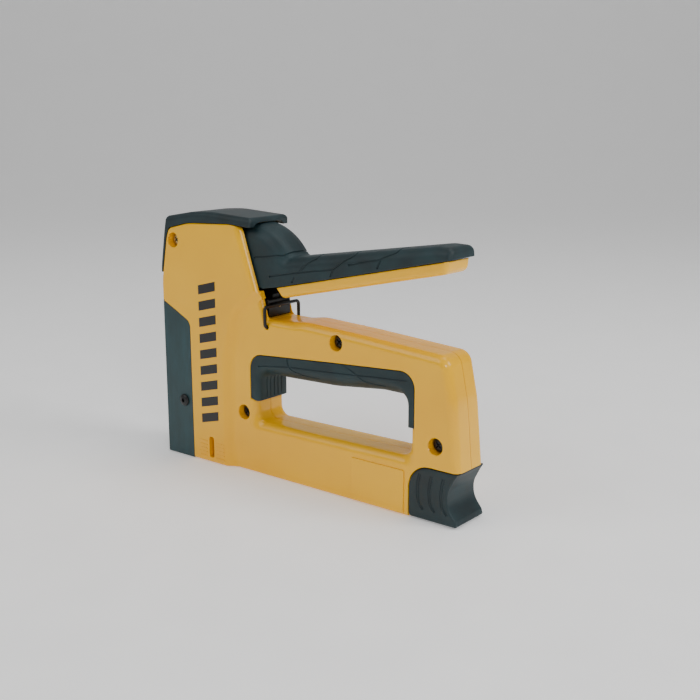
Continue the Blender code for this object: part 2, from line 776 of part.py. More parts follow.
def plunger(parent, steel):
    """Block lifted by the arm, with a foot for the blade and a slot for the arm's tip."""
    front = PLATE_SHEET + NOSE_WALL + 0.7
    block = box("plunger", (front, 21.5), (-PLUNGER_HALF, PLUNGER_HALF), (PLUNGER_FOOT, PLUNGER_TOP))
    foot = (BLADE_X + BLADE_SHEET + GAP, front + 1.0)
    crown = STAPLE_CROWN / 2
    join(block, box("plunger_foot", foot, (-crown, crown), (PLUNGER_FOOT, BLADE_TOP)))
    slot_half = ARM_HALF + 0.8
    slot_z = (ARM_TIP_Z - 6.6, ARM_TIP_Z + 3.6)
    cut(block, box("plunger_slot", (PLUNGER_X - 5.6, 24.0), (-slot_half, slot_half), slot_z))
    rivet = (BLADE_X - 1.0, PLUNGER_X - 2.0)
    cut(block, box("plunger_rivet_hole", rivet, (-1.5, 1.5), rivet_span(GAP)))
    return finish(block, steel, parent)


def rivet_span(gap=0.0):
    """Heights of the square-shanked rivet that joins the blade to the plunger."""
    middle = BLADE_TOP - 7.0
    half = 1.2 + gap
    return (middle - half, middle + half)


def driver_blade(parent, steel):
    """Flat blade that drives one staple, down in its rest position."""
    half = STAPLE_CROWN / 2 - 0.1
    blade = box("driver_blade", (BLADE_X, BLADE_X + BLADE_SHEET), (-half, half), (0.6, BLADE_TOP))
    hole = (BLADE_X - 1.0, BLADE_X + BLADE_SHEET + 1.0)
    cut(blade, box("blade_rivet_hole", hole, (-1.5, 1.5), rivet_span(GAP)))
    return finish(blade, steel, parent)


def blade_rivet(parent, steel):
    """Rivet through the blade into the plunger, flush with the front of the blade."""
    made = box("blade_rivet", (BLADE_X, PLUNGER_X - 2.4), (-1.2, 1.2), rivet_span())
    return finish(made, steel, parent)


def power_spring(steel):
    """Strong spring between the plunger and its seat."""
    low = PLUNGER_TOP + GAP + SPRING_WIRE
    high = SEAT_TOP - SEAT_SHEET - GAP - SPRING_WIRE
    base = world(PLUNGER_X, 0.0, low)
    points = [base + point * MM for point in coil_points(SPRING_RADIUS, SPRING_TURNS, high - low)]
    return finish(wire("power_spring", points, SPRING_WIRE), steel)


def spring_seat(steel):
    """Plate that holds the top of the power spring under the cap screw's bosses."""
    half = NOSE_CORE_HALF - GAP
    front = PLUNGER_X - SPRING_RADIUS - SPRING_WIRE + 0.3
    seat = box("spring_seat", (front, 24.0), (-half, half), (SEAT_TOP - SEAT_SHEET, SEAT_TOP))
    return finish(seat, steel)


def bumper(rubber):
    """Block that the plunger stops on."""
    half = NOSE_CORE_HALF - GAP
    z = (PLUNGER_FOOT - 10.2, PLUNGER_FOOT - GAP)
    return finish(box("bumper", (PLATE_SHEET + NOSE_WALL + 1.0, 22.0), (-half, half), z), rubber)


# ---------------------------------------------------------------- lever

def lever_grip(parent, rubber):
    """Rubber grip with its dome, grooved underneath for the arm."""
    grip = slab("lever_grip", grip_corners(), -GRIP_HALF, GRIP_HALF)
    round_sides(grip, 2.8, keep=lambda x, z: z > seam_z(x) + 3.0 and x > PIVOT_X - 12.0)
    half = ARM_HALF + GAP
    way = grown(arm_corners(), GAP)
    cut(grip, slab("grip_arm_way", way, -half, half))
    return finish(grip, rubber, parent)


def lever_handle(parent, paint):
    """Painted handle, slotted for the arm, with blind holes for the rivets in its slot."""
    handle = slab("lever_handle", handle_corners(), -HANDLE_HALF, HANDLE_HALF)
    round_sides(handle, 1.6, keep=lambda x, z: z < seam_z(x) - 0.6)
    half = ARM_HALF + GAP
    cut(handle, slab("handle_arm_way", grown(arm_corners(), GAP), -half, half))
    for index, (x, z) in enumerate(rivet_places()):
        end = HANDLE_HALF - RIVET_COVER + GAP
        cut(handle, rod(f"handle_rivet_hole_{index}", RIVET_RADIUS + 0.1, x, z, (-end, end), 12))
    return finish(handle, paint, parent)


def rivet_places():
    """Axes of the rivets that hold the arm in the handle."""
    places = []
    for back in (24.0, 40.0):
        x = PIVOT_X + back
        places.append((x, seam_z(x) - 1.9))
    return places


def lever_arm(parent, steel):
    """Arm bored for the pivot pin and the rivets."""
    arm = slab("lever_arm", arm_corners(), -ARM_HALF, ARM_HALF)
    y = (-ARM_HALF - 1.0, ARM_HALF + 1.0)
    cut(arm, rod("arm_bore", PIN_RADIUS + 0.1, PIVOT_X, PIVOT_Z, y, 24))
    for index, (x, z) in enumerate(rivet_places()):
        cut(arm, rod(f"arm_rivet_hole_{index}", RIVET_RADIUS + 0.1, x, z, y, 12))
    return finish(arm, steel, parent)


def arm_rivet(name, place, parent, steel):
    """Rivet through the arm, cast into the handle on both sides."""
    half = HANDLE_HALF - RIVET_COVER
    made = rod(name, RIVET_RADIUS, *place, (-half, half), 12)
    return finish(made, steel, parent)


def lever_return_spring(steel):
    """Small torsion spring round the pivot pin, beside the arm."""
    wire_radius = 0.3
    radius = PIN_RADIUS + wire_radius + 0.3
    start = ARM_HALF + wire_radius + 0.3
    end = EAR_OUTSIDE - EAR_SHEET - wire_radius - 0.3
    points = []
    for point in coil_points(radius, 3.5, end - start):
        points.append(world(PIVOT_X + point.x, start + point.z, PIVOT_Z + point.y))
    return finish(wire("lever_return_spring", points, wire_radius), steel)


def pivot_bracket(steel):
    """Folded steel bracket that holds the lever's pin on the deck of the body."""
    low = DECK + 0.2 + GAP
    rear = BRACKET_REAR
    front = PIVOT_X - PIN_RADIUS - 2.0
    top = PIVOT_Z + 2.4
    corners = [(front, low, 0.0), (rear, low, 0.8), (rear, top, 0.8), (front, top, 2.0)]
    bracket = slab("pivot_bracket", corners, -EAR_OUTSIDE, EAR_OUTSIDE)
    inside = EAR_OUTSIDE - EAR_SHEET
    hollow_x = (front - 5.0, rear - EAR_SHEET)
    cut(bracket, box("bracket_hollow", hollow_x, (-inside, inside), (low + EAR_SHEET, top + 5.0)))
    y = (-EAR_OUTSIDE - 1.0, EAR_OUTSIDE + 1.0)
    cut(bracket, rod("bracket_bore", PIN_RADIUS + 0.1, PIVOT_X, PIVOT_Z, y, 24))
    return finish(bracket, steel)


def pivot_pin(steel):
    """Pin through the bracket and the arm."""
    half = NECK_HALF - GAP
    return finish(rod("pivot_pin", PIN_RADIUS, PIVOT_X, PIVOT_Z, (-half, half), 24), steel)


def lock_bail(parent, steel):
    """Wire loop with its feet in the sides of the body, standing up behind the bracket."""
    foot = BODY_HALF - WALL + 0.6
    top = BAIL_Z + BAIL_HEIGHT
    bend = 2.0
    side_points = [(-foot, BAIL_Z)]
    for start, centre in ((-90.0, (BAIL_HALF - bend, BAIL_Z + bend)), (0.0, (BAIL_HALF - bend, top - bend))):
        for step in range(5):
            angle = math.radians(start + 22.5 * step)
            across = centre[0] + bend * math.cos(angle)
            side_points.append((-across, centre[1] + bend * math.sin(angle)))
    far_points = [(-y, z) for y, z in reversed(side_points)]
    points = [world(BAIL_X, y, z) for y, z in side_points + far_points]
    return finish(wire("lock_bail", points, BAIL_WIRE), steel, parent)


# ---------------------------------------------------------------- magazine

def magazine_channel(steel):
    """Open-topped channel that the staples lie in."""
    half = channel_half()
    rear = LENGTH - KNOB_LENGTH - 5.0
    top = CHANNEL_FLOOR + CHANNEL_SHEET + STAPLE_LEG + 1.2
    channel = box("magazine_channel", (CHANNEL_FRONT, rear), (-half, half), (CHANNEL_FLOOR, top))
    inside = half - CHANNEL_SHEET
    hollow = (CHANNEL_FRONT - 2.0, rear + 2.0)
    z = (CHANNEL_FLOOR + CHANNEL_SHEET, top + 2.0)
    cut(channel, box("channel_hollow", hollow, (-inside, inside), z))
    window = (NOSE_DEPTH - 17.6, NOSE_DEPTH - 14.0)
    wz = (CHANNEL_FLOOR + CHANNEL_SHEET, CHANNEL_FLOOR + 9.8)
    cut(channel, box("channel_windows", window, (-half - 2.0, half + 2.0), wz))
    return finish(channel, steel)


def channel_half():
    """Outer half width of the magazine channel."""
    return STAPLE_CROWN / 2 + 0.5 + CHANNEL_SHEET


def staple_base():
    """Height of the tips of the staples' legs."""
    return CHANNEL_FLOOR + CHANNEL_SHEET + GAP


def straddling(name, x, leg_gap, top_gap):
    """Inverted channel that stands over the rail."""
    low = staple_base()
    high = low + STAPLE_LEG
    half = STAPLE_CROWN / 2
    made = box(name, x, (-half, half), (low, high))
    inside = half - leg_gap
    longer = (x[0] - 2.0, x[1] + 2.0)
    cut(made, box(name + "_under", longer, (-inside, inside), (low - 2.0, high - top_gap)))
    return made


def staple_strip(steel):
    """Part-used strip of staples."""
    x = (CHANNEL_FRONT, CHANNEL_FRONT + STRIP_PART)
    return finish(straddling("staple_strip", x, STAPLE_WIRE, STAPLE_WIRE), steel)


def rail_half():
    """Half width of the rail inside the staples."""
    return STAPLE_CROWN / 2 - STAPLE_WIRE - GAP


def rail_top():
    """Top of the rail."""
    return staple_base() + STAPLE_LEG - STAPLE_WIRE - GAP


def magazine_rail(parent, steel):
    """Rail with an open groove for the pusher's spring, fixed in the knob."""
    half = rail_half()
    end = LENGTH - 16.0
    rail = box("magazine_rail", (CHANNEL_FRONT + 0.6, end), (-half, half), (staple_base(), rail_top()))
    groove = (CHANNEL_FRONT + 6.0, LENGTH - KNOB_LENGTH + 1.0)
    inside = half - 0.9
    cut(rail, box("rail_groove", groove, (-inside, inside), (staple_base() + 1.0, rail_top() + 3.0)))
    y = (-half - 1.0, half + 1.0)
    cut(rail, rod("rail_pin_hole", PIN_RADIUS - 0.4, *knob_pin_place(), y, 16))
    return finish(rail, steel, parent)


def knob_pin_place():
    """Axis of the pin that joins the knob and the rail."""
    return (LENGTH - 19.0, staple_base() + 4.5)


def knob_pin(parent, steel):
    """Pin across the knob and the rail."""
    half = KNOB_HALF - 2.5
    made = rod("knob_pin", PIN_RADIUS - 0.5, *knob_pin_place(), (-half, half), 16)
    return finish(made, steel, parent)


def magazine_knob(parent, rubber):
    """Knob with a dished back, three finger grooves on each side and a socket for the rail."""
    knob = slab("magazine_knob", knob_corners(), -KNOB_HALF, KNOB_HALF)
    round_sides(knob, 1.3)
    dish = 26.0
    cut(knob, rod("knob_dish", dish, LENGTH + dish - 5.4, 12.6, (-KNOB_HALF - 2, KNOB_HALF + 2), 72))
    half = rail_half() + GAP
    socket = (LENGTH - KNOB_LENGTH - 5.0, LENGTH - 16.0 + GAP)
    z = (staple_base() - GAP, rail_top() + GAP)
    cut(knob, box("knob_socket", socket, (-half, half), z))
    bore = KNOB_HALF - 2.2
    cut(knob, rod("knob_bore", PIN_RADIUS - 0.4, *knob_pin_place(), (-bore, bore), 16))
    for index in range(3):
        x = LENGTH - KNOB_LENGTH + 6.0 + index * 6.4
        for side in (-1, 1):
            y = (side * (KNOB_HALF - 1.2), side * (KNOB_HALF + 2.0))
            cut(knob, box(f"knob_groove_{index}_{side}", (x, x + 1.6), y, (6.0, KNOB_HEIGHT - 3.6)))
    return finish(knob, rubber, parent)


def pusher(parent, steel):
    """Slider behind the strip, with a tongue down into the rail's groove."""
    front = CHANNEL_FRONT + STRIP_PART + GAP
    made = straddling("pusher", (front, front + 12.0), STAPLE_WIRE, STAPLE_WIRE)
    tongue_half = rail_half() - 0.9 - GAP
    top = staple_base() + STAPLE_LEG - 0.5
    tongue_x = (front + 3.0, front + 12.0)
    join(made, box("pusher_tongue", tongue_x, (-tongue_half, tongue_half), (staple_base() + 1.4, top)))
    return finish(made, steel, parent)


def pusher_spring(parent, steel):
    """Long light spring in the rail's groove, behind the pusher."""
    wire_radius = 0.3
    radius = rail_half() - 0.9 - GAP - wire_radius
    start = CHANNEL_FRONT + STRIP_PART + GAP + 12.0 + GAP + wire_radius
    end = LENGTH - KNOB_LENGTH + 1.0 - GAP - wire_radius
    middle = staple_base() + 1.0 + GAP + wire_radius + radius
    points = []
    for point in coil_points(radius, 22, end - start, 8):
        points.append(world(start + point.z, point.x, middle + point.y))
    return finish(wire("pusher_spring", points, wire_radius), steel, parent)


# ---------------------------------------------------------------- the whole tool

def build():
    """Make every piece."""
    paint = material("yellow_paint", 0xEFB524, 0.3)
    black = material("black_nylon", 0x23292D, 0.5)
    rubber = material("black_rubber", 0x2C4042, 0.6)
    blackened = material("blackened_steel", 0x1C2226, 0.35, 0.6)
    bright = material("bright_steel", 0xB9BDC0, 0.3, 1.0)
    zinc = material("zinc_plated_steel", 0xC9C2A8, 0.35, 1.0)
    urethane = material("urethane", 0x5A3A26, 0.6)

    lever = joint_empty("lever_axis", world(PIVOT_X, 0.0, PIVOT_Z))
    drive = joint_empty("plunger_axis", world(PLUNGER_X, 0.0, PLUNGER_FOOT))
    bail = joint_empty("bail_axis", world(BAIL_X, 0.0, BAIL_Z))
    slide = joint_empty("magazine_axis", world(LENGTH - KNOB_LENGTH, 0.0, staple_base()))
    push = joint_empty("pusher_axis", world(CHANNEL_FRONT + STRIP_PART, 0.0, staple_base()))

    housing_half("housing_left", -1, paint)
    housing_half("housing_right", 1, paint)
    for name, x, z, surface, _ in screw_places():
        body_screw(name, x, z, surface, zinc if name == "cap_screw" else blackened)
    top_cap(black)
    nose_plate(blackened)
    nose_screw("nose_screw_left", -1, blackened)
    nose_screw("nose_screw_right", 1, blackened)
    grip_liner(rubber)

    plunger(drive, bright)
    driver_blade(drive, bright)
    blade_rivet(drive, bright)
    power_spring(bright)
    spring_seat(bright)
    bumper(urethane)

    lever_grip(lever, rubber)
    lever_handle(lever, paint)
    lever_arm(lever, blackened)
    for name, place in zip(("arm_rivet_front", "arm_rivet_rear"), rivet_places()):
        arm_rivet(name, place, lever, bright)
    lever_return_spring(bright)
    pivot_bracket(blackened)
    pivot_pin(bright)
    lock_bail(bail, blackened)

    magazine_channel(bright)
    staple_strip(zinc)
    magazine_rail(slide, bright)
    magazine_knob(slide, rubber)
    knob_pin(slide, bright)
    pusher(push, bright)
    pusher_spring(slide, bright)


empty_scene()
PARTS = new_collection("staple_gun")
CUTTERS = new_collection("cutters")
build()
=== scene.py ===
# %% [markdown]
# # A hand tacker, piece by piece
# The tool is a staple gun for one hand: a die-cast body in two halves, a long squeeze lever
# with a soft grip, and a magazine that slides out at the back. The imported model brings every
# part at its true size and with its joints, so this lesson only makes what the eye sees:
# finer shapes in the places that the model gives, and a finish for every surface.

# %% Load the frame
import json
import math
from types import SimpleNamespace

import bmesh
import bpy
from mathutils import Matrix, Vector
from mathutils.bvhtree import BVHTree

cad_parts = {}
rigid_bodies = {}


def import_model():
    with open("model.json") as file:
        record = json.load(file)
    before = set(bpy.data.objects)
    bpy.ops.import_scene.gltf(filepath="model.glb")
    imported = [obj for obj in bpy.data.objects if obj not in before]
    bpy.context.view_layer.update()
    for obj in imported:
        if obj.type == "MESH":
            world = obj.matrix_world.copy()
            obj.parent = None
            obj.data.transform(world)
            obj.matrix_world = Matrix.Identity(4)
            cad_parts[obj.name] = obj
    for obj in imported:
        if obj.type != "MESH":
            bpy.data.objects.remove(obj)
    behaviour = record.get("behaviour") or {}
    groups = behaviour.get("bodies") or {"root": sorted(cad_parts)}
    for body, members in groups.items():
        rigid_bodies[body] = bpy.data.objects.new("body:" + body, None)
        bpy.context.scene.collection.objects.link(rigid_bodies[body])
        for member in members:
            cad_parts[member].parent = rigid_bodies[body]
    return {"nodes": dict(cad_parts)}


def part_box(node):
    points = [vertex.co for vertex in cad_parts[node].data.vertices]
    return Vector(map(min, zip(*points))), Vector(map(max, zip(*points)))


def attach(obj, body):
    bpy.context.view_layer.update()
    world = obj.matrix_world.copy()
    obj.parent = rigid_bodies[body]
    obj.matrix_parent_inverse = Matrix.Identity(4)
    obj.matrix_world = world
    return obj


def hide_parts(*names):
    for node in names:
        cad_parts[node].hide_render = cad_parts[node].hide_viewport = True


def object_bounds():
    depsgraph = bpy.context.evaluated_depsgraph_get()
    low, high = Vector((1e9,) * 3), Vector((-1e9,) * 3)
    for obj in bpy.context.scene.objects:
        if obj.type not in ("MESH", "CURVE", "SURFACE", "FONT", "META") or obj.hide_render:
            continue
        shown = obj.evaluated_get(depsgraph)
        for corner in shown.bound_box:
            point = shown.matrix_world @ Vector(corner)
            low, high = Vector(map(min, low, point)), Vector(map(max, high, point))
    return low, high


for leftover in list(bpy.data.objects):
    bpy.data.objects.remove(leftover, do_unlink=True)
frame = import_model()
cad_low, cad_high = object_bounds()

# %% [markdown]
# ## Units and driving sizes
# Sizes are in millimetres, and MM turns them into metres. In the side view x runs back from
# the front of the nose and z up from the base, because that is how a maker would measure it.
# Overall sizes are read from the model's nodes; the few that it can't show are named here.

# %% Driving sizes
MM = 0.001
LENGTH = (cad_high.x - cad_low.x) / MM


def spans(node):
    """Lowest and highest x, y and z of a CAD node in millimetres, with x from the nose."""
    low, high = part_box(node)
    return ((low.x / MM + LENGTH / 2, high.x / MM + LENGTH / 2), (low.y / MM, high.y / MM),
            (low.z / MM, high.z / MM))


def middle(node):
    """Middle of a CAD node in millimetres."""
    return tuple(sum(span) / 2 for span in spans(node))


GAP = 0.3           # between pieces that touch
NOSE_HALF = spans("housing_left")[1][0] * -1
NOSE_TOP = 129.6    # top of the painted nose, under the cap
NOSE_FRONT = 0.4    # how far the painted front stands behind the plate's
NOSE_DEPTH = 51.0   # front of the nose to its rear edge at the base
PLATE = spans("nose_plate")
PLATE_SHEET = 1.5
PLATE_DEPTH = PLATE[0][1]
PLATE_TOP = PLATE[2][1]
DECK = 82.7         # top of the body behind the nose
BODY_HALF = spans("grip_liner")[1][1] + 0.1
WALL = 2.6
NOSE_WALL = 3.0
PIVOT_X, _, PIVOT_Z = middle("pivot_pin")
print(f"length {LENGTH:.1f}, nose half {NOSE_HALF:.2f}, body half {BODY_HALF:.2f}")
print(f"the lever turns about x {PIVOT_X:.1f}, z {PIVOT_Z:.1f}")

# %% [markdown]
# ## The camera
# The camera stands to the rear left, a little above the tool, and looks slightly down.

# %% Camera
EYE = Vector((0.3374, -0.3913, 0.1869))
LOOK_AT = Vector((0.0238, 0.0, 0.0716))
camera_data = bpy.data.cameras.new("camera")
camera_data.sensor_width = 36.0
camera_data.lens = 54.15
camera = bpy.data.objects.new("camera", camera_data)
camera.location = EYE
camera.rotation_euler = (LOOK_AT - EYE).to_track_quat("-Z", "Y").to_euler()
bpy.context.scene.collection.objects.link(camera)
bpy.context.scene.camera = camera
print("camera distance", round((LOOK_AT - EYE).length, 3), "m")

# %% [markdown]
# ## A helper for materials
# Every finish is a small network on the object's own coordinates, so a pattern stays on its
# piece when the tool moves. One function adds a node, sets it up and links it. Two more hold
# what the finishes share: a colour in soft clouds, and a roughness and a relief that vary.

# %% Nodes and colours
def colour(text):
    """Linear colour from an sRGB hex value such as '#ff8800'."""
    values = [int(text[i:i + 2], 16) / 255 for i in (1, 3, 5)]
    return tuple(v / 12.92 if v <= 0.04045 else ((v + 0.055) / 1.055) ** 2.4 for v in values) + (1.0,)


def add(tree, kind, inputs=None, **settings):
    """Add a node; an input's value is either a constant or the output socket to link."""
    made = tree.nodes.new(kind)
    for name, value in settings.items():
        setattr(made, name, value)
    for name, value in (inputs or {}).items():
        if isinstance(value, bpy.types.NodeSocket):
            tree.links.new(value, made.inputs[name])
        else:
            made.inputs[name].default_value = value
    return made


def clouded(name, stops, size, detail, stretch=(1.0, 1.0, 1.0), grit=0.5):
    """New material whose colour wanders between two shades in clouds of a size in millimetres."""
    made = bpy.data.materials.new(name)
    made.use_nodes = True
    tree = made.node_tree
    place = add(tree, "ShaderNodeTexCoord").outputs["Object"]
    place = add(tree, "ShaderNodeMapping", {"Vector": place, "Scale": stretch}).outputs["Vector"]
    cloud = add(tree, "ShaderNodeTexNoise", {"Vector": place, "Scale": 1 / (size * MM), "Detail": detail,
                                             "Roughness": grit}).outputs["Fac"]
    shade = add(tree, "ShaderNodeValToRGB", {"Fac": cloud})
    for element, (position, text) in zip(shade.color_ramp.elements, stops):
        element.position = position
        element.color = colour(text)
    shader = tree.nodes["Principled BSDF"]
    tree.links.new(shade.outputs["Color"], shader.inputs["Base Color"])
    return SimpleNamespace(material=made, tree=tree, shader=shader, place=place, cloud=cloud,
                           shade=shade.outputs["Color"])


def roughened(coat, cloud, rough, relief, strength, depth):
    """The clouded material, with a roughness between two values and a relief, each after a pattern."""
    tree, shader = coat.tree, coat.shader
    spread = add(tree, "ShaderNodeMapRange", {"Value": cloud, "To Min": rough[0], "To Max": rough[1]})
    tree.links.new(spread.outputs["Result"], shader.inputs["Roughness"])
    bump = add(tree, "ShaderNodeBump", {"Height": relief, "Strength": strength, "Distance": depth * MM})
    tree.links.new(bump.outputs["Normal"], shader.inputs["Normal"])
    return coat.material


print("half grey in linear light:", round(colour("#808080")[0], 3))

# %% [markdown]
# ## Gloss enamel on a die casting
# Sprayed and baked enamel: a smooth coloured coat whose surface keeps the slight waviness
# called orange peel. The waves are about 1.5 mm long and very low, so only a highlight shows
# them. The colour varies a little with the thickness of the coat, and the gloss with dust.

# %% Yellow enamel
COAT_PATCH = 40.0
DUST_PATCH = 6.0
PEEL_LENGTH = 1.5


def yellow_enamel():
    """Yellow coat whose gloss varies with dust and whose relief is the peel."""
    coat = clouded("yellow baked enamel", [(0.3, "#f8b600"), (0.7, "#ffc000")], COAT_PATCH, 2.0)
    dust = add(coat.tree, "ShaderNodeTexNoise",
               {"Vector": coat.place, "Scale": 1 / (DUST_PATCH * MM), "Detail": 4.0})
    peel = add(coat.tree, "ShaderNodeTexNoise",
               {"Vector": coat.place, "Scale": 1 / (PEEL_LENGTH * MM), "Detail": 1.0})
    return roughened(coat, dust.outputs["Fac"], (0.2, 0.28), peel.outputs["Fac"], 0.06, 0.1)


# %% [markdown]
# ## Black plastics
# The cap and the knob are moulded nylon with a fine spark-eroded grain of about 0.3 mm,
# drawn at 0.5 mm so that it shows. The grip and the liner are a soft moulded elastomer, a
# little duller, whose blue-black colour greys where it is handled.

# %% Moulded nylon and soft elastomer
HANDLED_PATCH = 14.0


def moulded(name, dark, light, rough, grain, depth):
    """Moulded plastic: two close colours in soft clouds, and a grain of a given size."""
    coat = clouded(name, [(0.3, dark), (0.75, light)], HANDLED_PATCH, 5.0)
    pits = add(coat.tree, "ShaderNodeTexNoise",
               {"Vector": coat.place, "Scale": 1 / (grain * MM), "Detail": 2.0})
    return roughened(coat, coat.cloud, (rough - 0.05, rough + 0.05), pits.outputs["Fac"], 0.5, depth)


# %% [markdown]
# ## Steels
# The nose plate, bracket and screws are black oxide: a thin dark layer, still with the
# streaks of the rolled sheet. The blade, rail and springs are bright steel with ground
# lines, the staples are galvanised wire, and small hidden fixings are zinc plated.

# %% Steel finishes
STREAKS = (1.0, 1.0, 0.25)
GROUND_LINES = (0.03, 1.0, 1.0)


def blackened(name, dark, light, rough, streak):
    """Black oxide over steel, with streaks along z and dust in them."""
    coat = clouded(name, [(0.25, dark), (0.8, light)], streak, 6.0, STREAKS, 0.65)
    return roughened(coat, coat.cloud, (rough - 0.08, rough + 0.1), coat.cloud, 0.15, 0.1)


def bare_metal(name, dark, light, rough, line):
    """Bare or plated steel: fine ground lines along x over a slightly mottled colour."""
    metal = clouded(name, [(0.2, dark), (0.8, light)], line, 3.0, GROUND_LINES)
    metal.shader.inputs["Metallic"].default_value = 1.0
    return roughened(metal, metal.cloud, (rough - 0.06, rough + 0.08), metal.cloud, 0.2, 0.05)


# %% All finishes
FINISH = {
    "enamel": yellow_enamel(),
    "nylon": moulded("black nylon, grained", "#0a1d21", "#163136", 0.5, 0.5, 0.05),
    "elastomer": moulded("black elastomer, moulded", "#0b2024", "#19363b", 0.55, 0.7, 0.04),
    "oxide": blackened("black oxide on sheet steel", "#0f2a2e", "#22484d", 0.42, 6.0),
    "black_steel": blackened("black oxide on small steel parts", "#040506", "#0c0e0f", 0.4, 3.0),
    "steel": bare_metal("bright ground steel", "#9a9c9e", "#c4c6c8", 0.3, 0.25),
    "zinc": bare_metal("zinc plated steel", "#a89c74", "#cdc39c", 0.36, 0.4),
    "galvanised": bare_metal("galvanised staple wire", "#9b9d9c", "#c9cbca", 0.38, 0.2),
    "urethane": moulded("cast urethane", "#4a2d17", "#6b4424", 0.45, 0.9, 0.02),
    "ink": moulded("black pad print", "#040405", "#090a0b", 0.35, 0.8, 0.01),
}
print("finishes:", ", ".join(FINISH))

# %% [markdown]
# ## Outlines and lofts
# Most pieces are slabs seen from the side: one outline, carried across the tool, with its
# long edges rounded. A corner is one vertex with a radius, and a vertex bevel rounds it.
# Rings of the same outline, each set in a little more, are bridged into a body whose edges
# are true quarter rounds of different sizes. A bevel on the finished slab would be shorter
# to write, but it fails where a rounding is wider than a corner.

# %% Outline tools
CORNER_STEPS = 7


def blunt(work, geom, width, segments, affect='EDGES', clamp=False):
    """Round edges or corners of a bmesh by a width in millimetres."""
    bmesh.ops.bevel(work, geom=geom, offset=width * MM, offset_type='OFFSET', segments=segments,
                    profile=0.5, affect=affect, material=-1, clamp_overlap=clamp)


def at(x, y, z):
    """Point of the frame from millimetres, with x measured from the front of the nose."""
    return Vector(((x - LENGTH / 2) * MM, y * MM, z * MM))


def corner_turn(before, here, after):
    """Signed turn of an outline at a corner, positive to the left."""
    one = Vector(here[:2]) - Vector(before[:2])
    two = Vector(after[:2]) - Vector(here[:2])
    return math.atan2(one.x * two.y - one.y * two.x, one.dot(two))


def moved_in(corners, distances):
    """Anticlockwise outline whose edge number i, from corner i on, is moved in by distance i."""
    count = len(corners)
    made = []
    for index, (x, z, radius) in enumerate(corners):
        before, after = corners[index - 1], corners[(index + 1) % count]
        one = (Vector((x, z)) - Vector(before[:2])).normalized()
        two = (Vector(after[:2]) - Vector((x, z))).normalized()
        d_one, d_two = distances[index - 1], distances[index]
        turn = corner_turn(before, (x, z), after)
        across = one.x * two.y - one.y * two.x
        if abs(across) < 0.15:
            mean = (d_one + d_two) / 2
            shift = Vector((-one.y - two.y, one.x + two.x)) * mean / (1 + one.dot(two))
        else:
            shift = (two * d_one - one * d_two) / across
        if radius > 0:
            radius = max(radius - math.copysign((d_one + d_two) / 2, turn), 0.05)
        made.append((x + shift.x, z + shift.y, radius))
    return made


def ring(work, corners, y):
    """Face across the tool at y, with each corner rounded by a vertex bevel."""
    known = set(work.faces)
    verts = [work.verts.new(at(x, y, z)) for x, z, _ in corners]
    work.faces.new(verts)
    count = len(corners)
    for index, vert in enumerate(verts):
        x, z, radius = corners[index]
        if radius <= 0:
            continue
        before, after = corners[index - 1], corners[(index + 1) % count]
        turn = abs(corner_turn(before, (x, z), after))
        sides = [(Vector((x, z)) - Vector(other[:2])).length for other in (before, after)]
        reach = min(radius * math.tan(turn / 2), 0.49 * min(sides))
        blunt(work, [vert], reach, CORNER_STEPS, 'VERTICES')
    return next(face for face in work.faces if face not in known)


def loft(layers):
    """Closed body through outlines given as (y, corners)."""
    work = bmesh.new()
    rings = [ring(work, corners, y) for y, corners in layers]
    loops = [list(face.edges) for face in rings]
    bmesh.ops.delete(work, geom=rings[1:-1], context='FACES_ONLY')
    for one, two in zip(loops, loops[1:]):
        bmesh.ops.bridge_loops(work, edges=one + two)
    bmesh.ops.recalc_face_normals(work, faces=work.faces)
    return work


def slab(corners, y_from, y_to):
    """Outline carried straight across the tool."""
    return loft([(y_from, corners), (y_to, corners)])


def rectangle(x, z, radius):
    """Outline between pairs of x and z, with round corners."""
    return [(x[0], z[0], radius), (x[1], z[0], radius), (x[1], z[1], radius), (x[0], z[1], radius)]


print("a square set in by 1 mm:", moved_in(rectangle((0, 10), (0, 10), 0), [1.0] * 4))

# %% [markdown]
# A rounded edge stands back from the side face by an amount that depends on the depth below
# that face. One function gives it for a quarter round, and the layers are taken at the depths
# where the quarter rounds of all the edges need them.

# %% Rounded slabs
ROUND_STEPS = 5


def quarter(depth, radius):
    """How far a quarter round stands back at a depth below the face."""
    if depth >= radius or radius <= 0:
        return 0.0
    return radius - math.sqrt(radius ** 2 - (radius - depth) ** 2)


def depths(radii):
    """Depths to cut the layers at, deepest first, for edges of several radii."""
    found = {0.0}
    for radius in set(radii):
        for step in range(ROUND_STEPS):
            found.add(round(radius * (1 - math.sin(step / ROUND_STEPS * math.pi / 2)), 3))
    kept = []
    for depth in sorted(found, reverse=True):
        if not kept or kept[-1] - depth > 0.08 or depth == 0.0:
            kept.append(depth)
    return kept


def side_layers(corners, radii, start, half, side=1):
    """Layers from the start plane out to a side face, each edge rounded by its own radius."""
    layers = [(side * start, corners)]
    for depth in depths(radii):
        distances = [quarter(depth, radius) for radius in radii]
        layers.append((side * (half - depth), moved_in(corners, distances)))
    return layers


def rounded(corners, radii, half):
    """Slab rounded on both sides."""
    outer = side_layers(corners, radii, 0.0, half)[1:]
    mirrored = [(-y, ring_corners) for y, ring_corners in reversed(outer)]
    return loft(mirrored + outer)


print("layers of a 2 mm rounding, in mm below the face:", depths([2.0]))

# %% [markdown]
# ## Finishing a piece
# Solids are joined and cut with exact Booleans, whose result becomes the mesh. Faces are
# shaded smooth up to 35 degrees, and weighted normals keep the flat sides flat beside their
# roundings. Every piece then rides on its body, and the CAD nodes it stands for are hidden.

# %% Joining, cutting and finishing
SMOOTH_TO = math.radians(35)
WELD = 0.002         # vertices this close are one, in millimetres
WELD_TURNED = 0.01
WELD_WIRE = 0.001


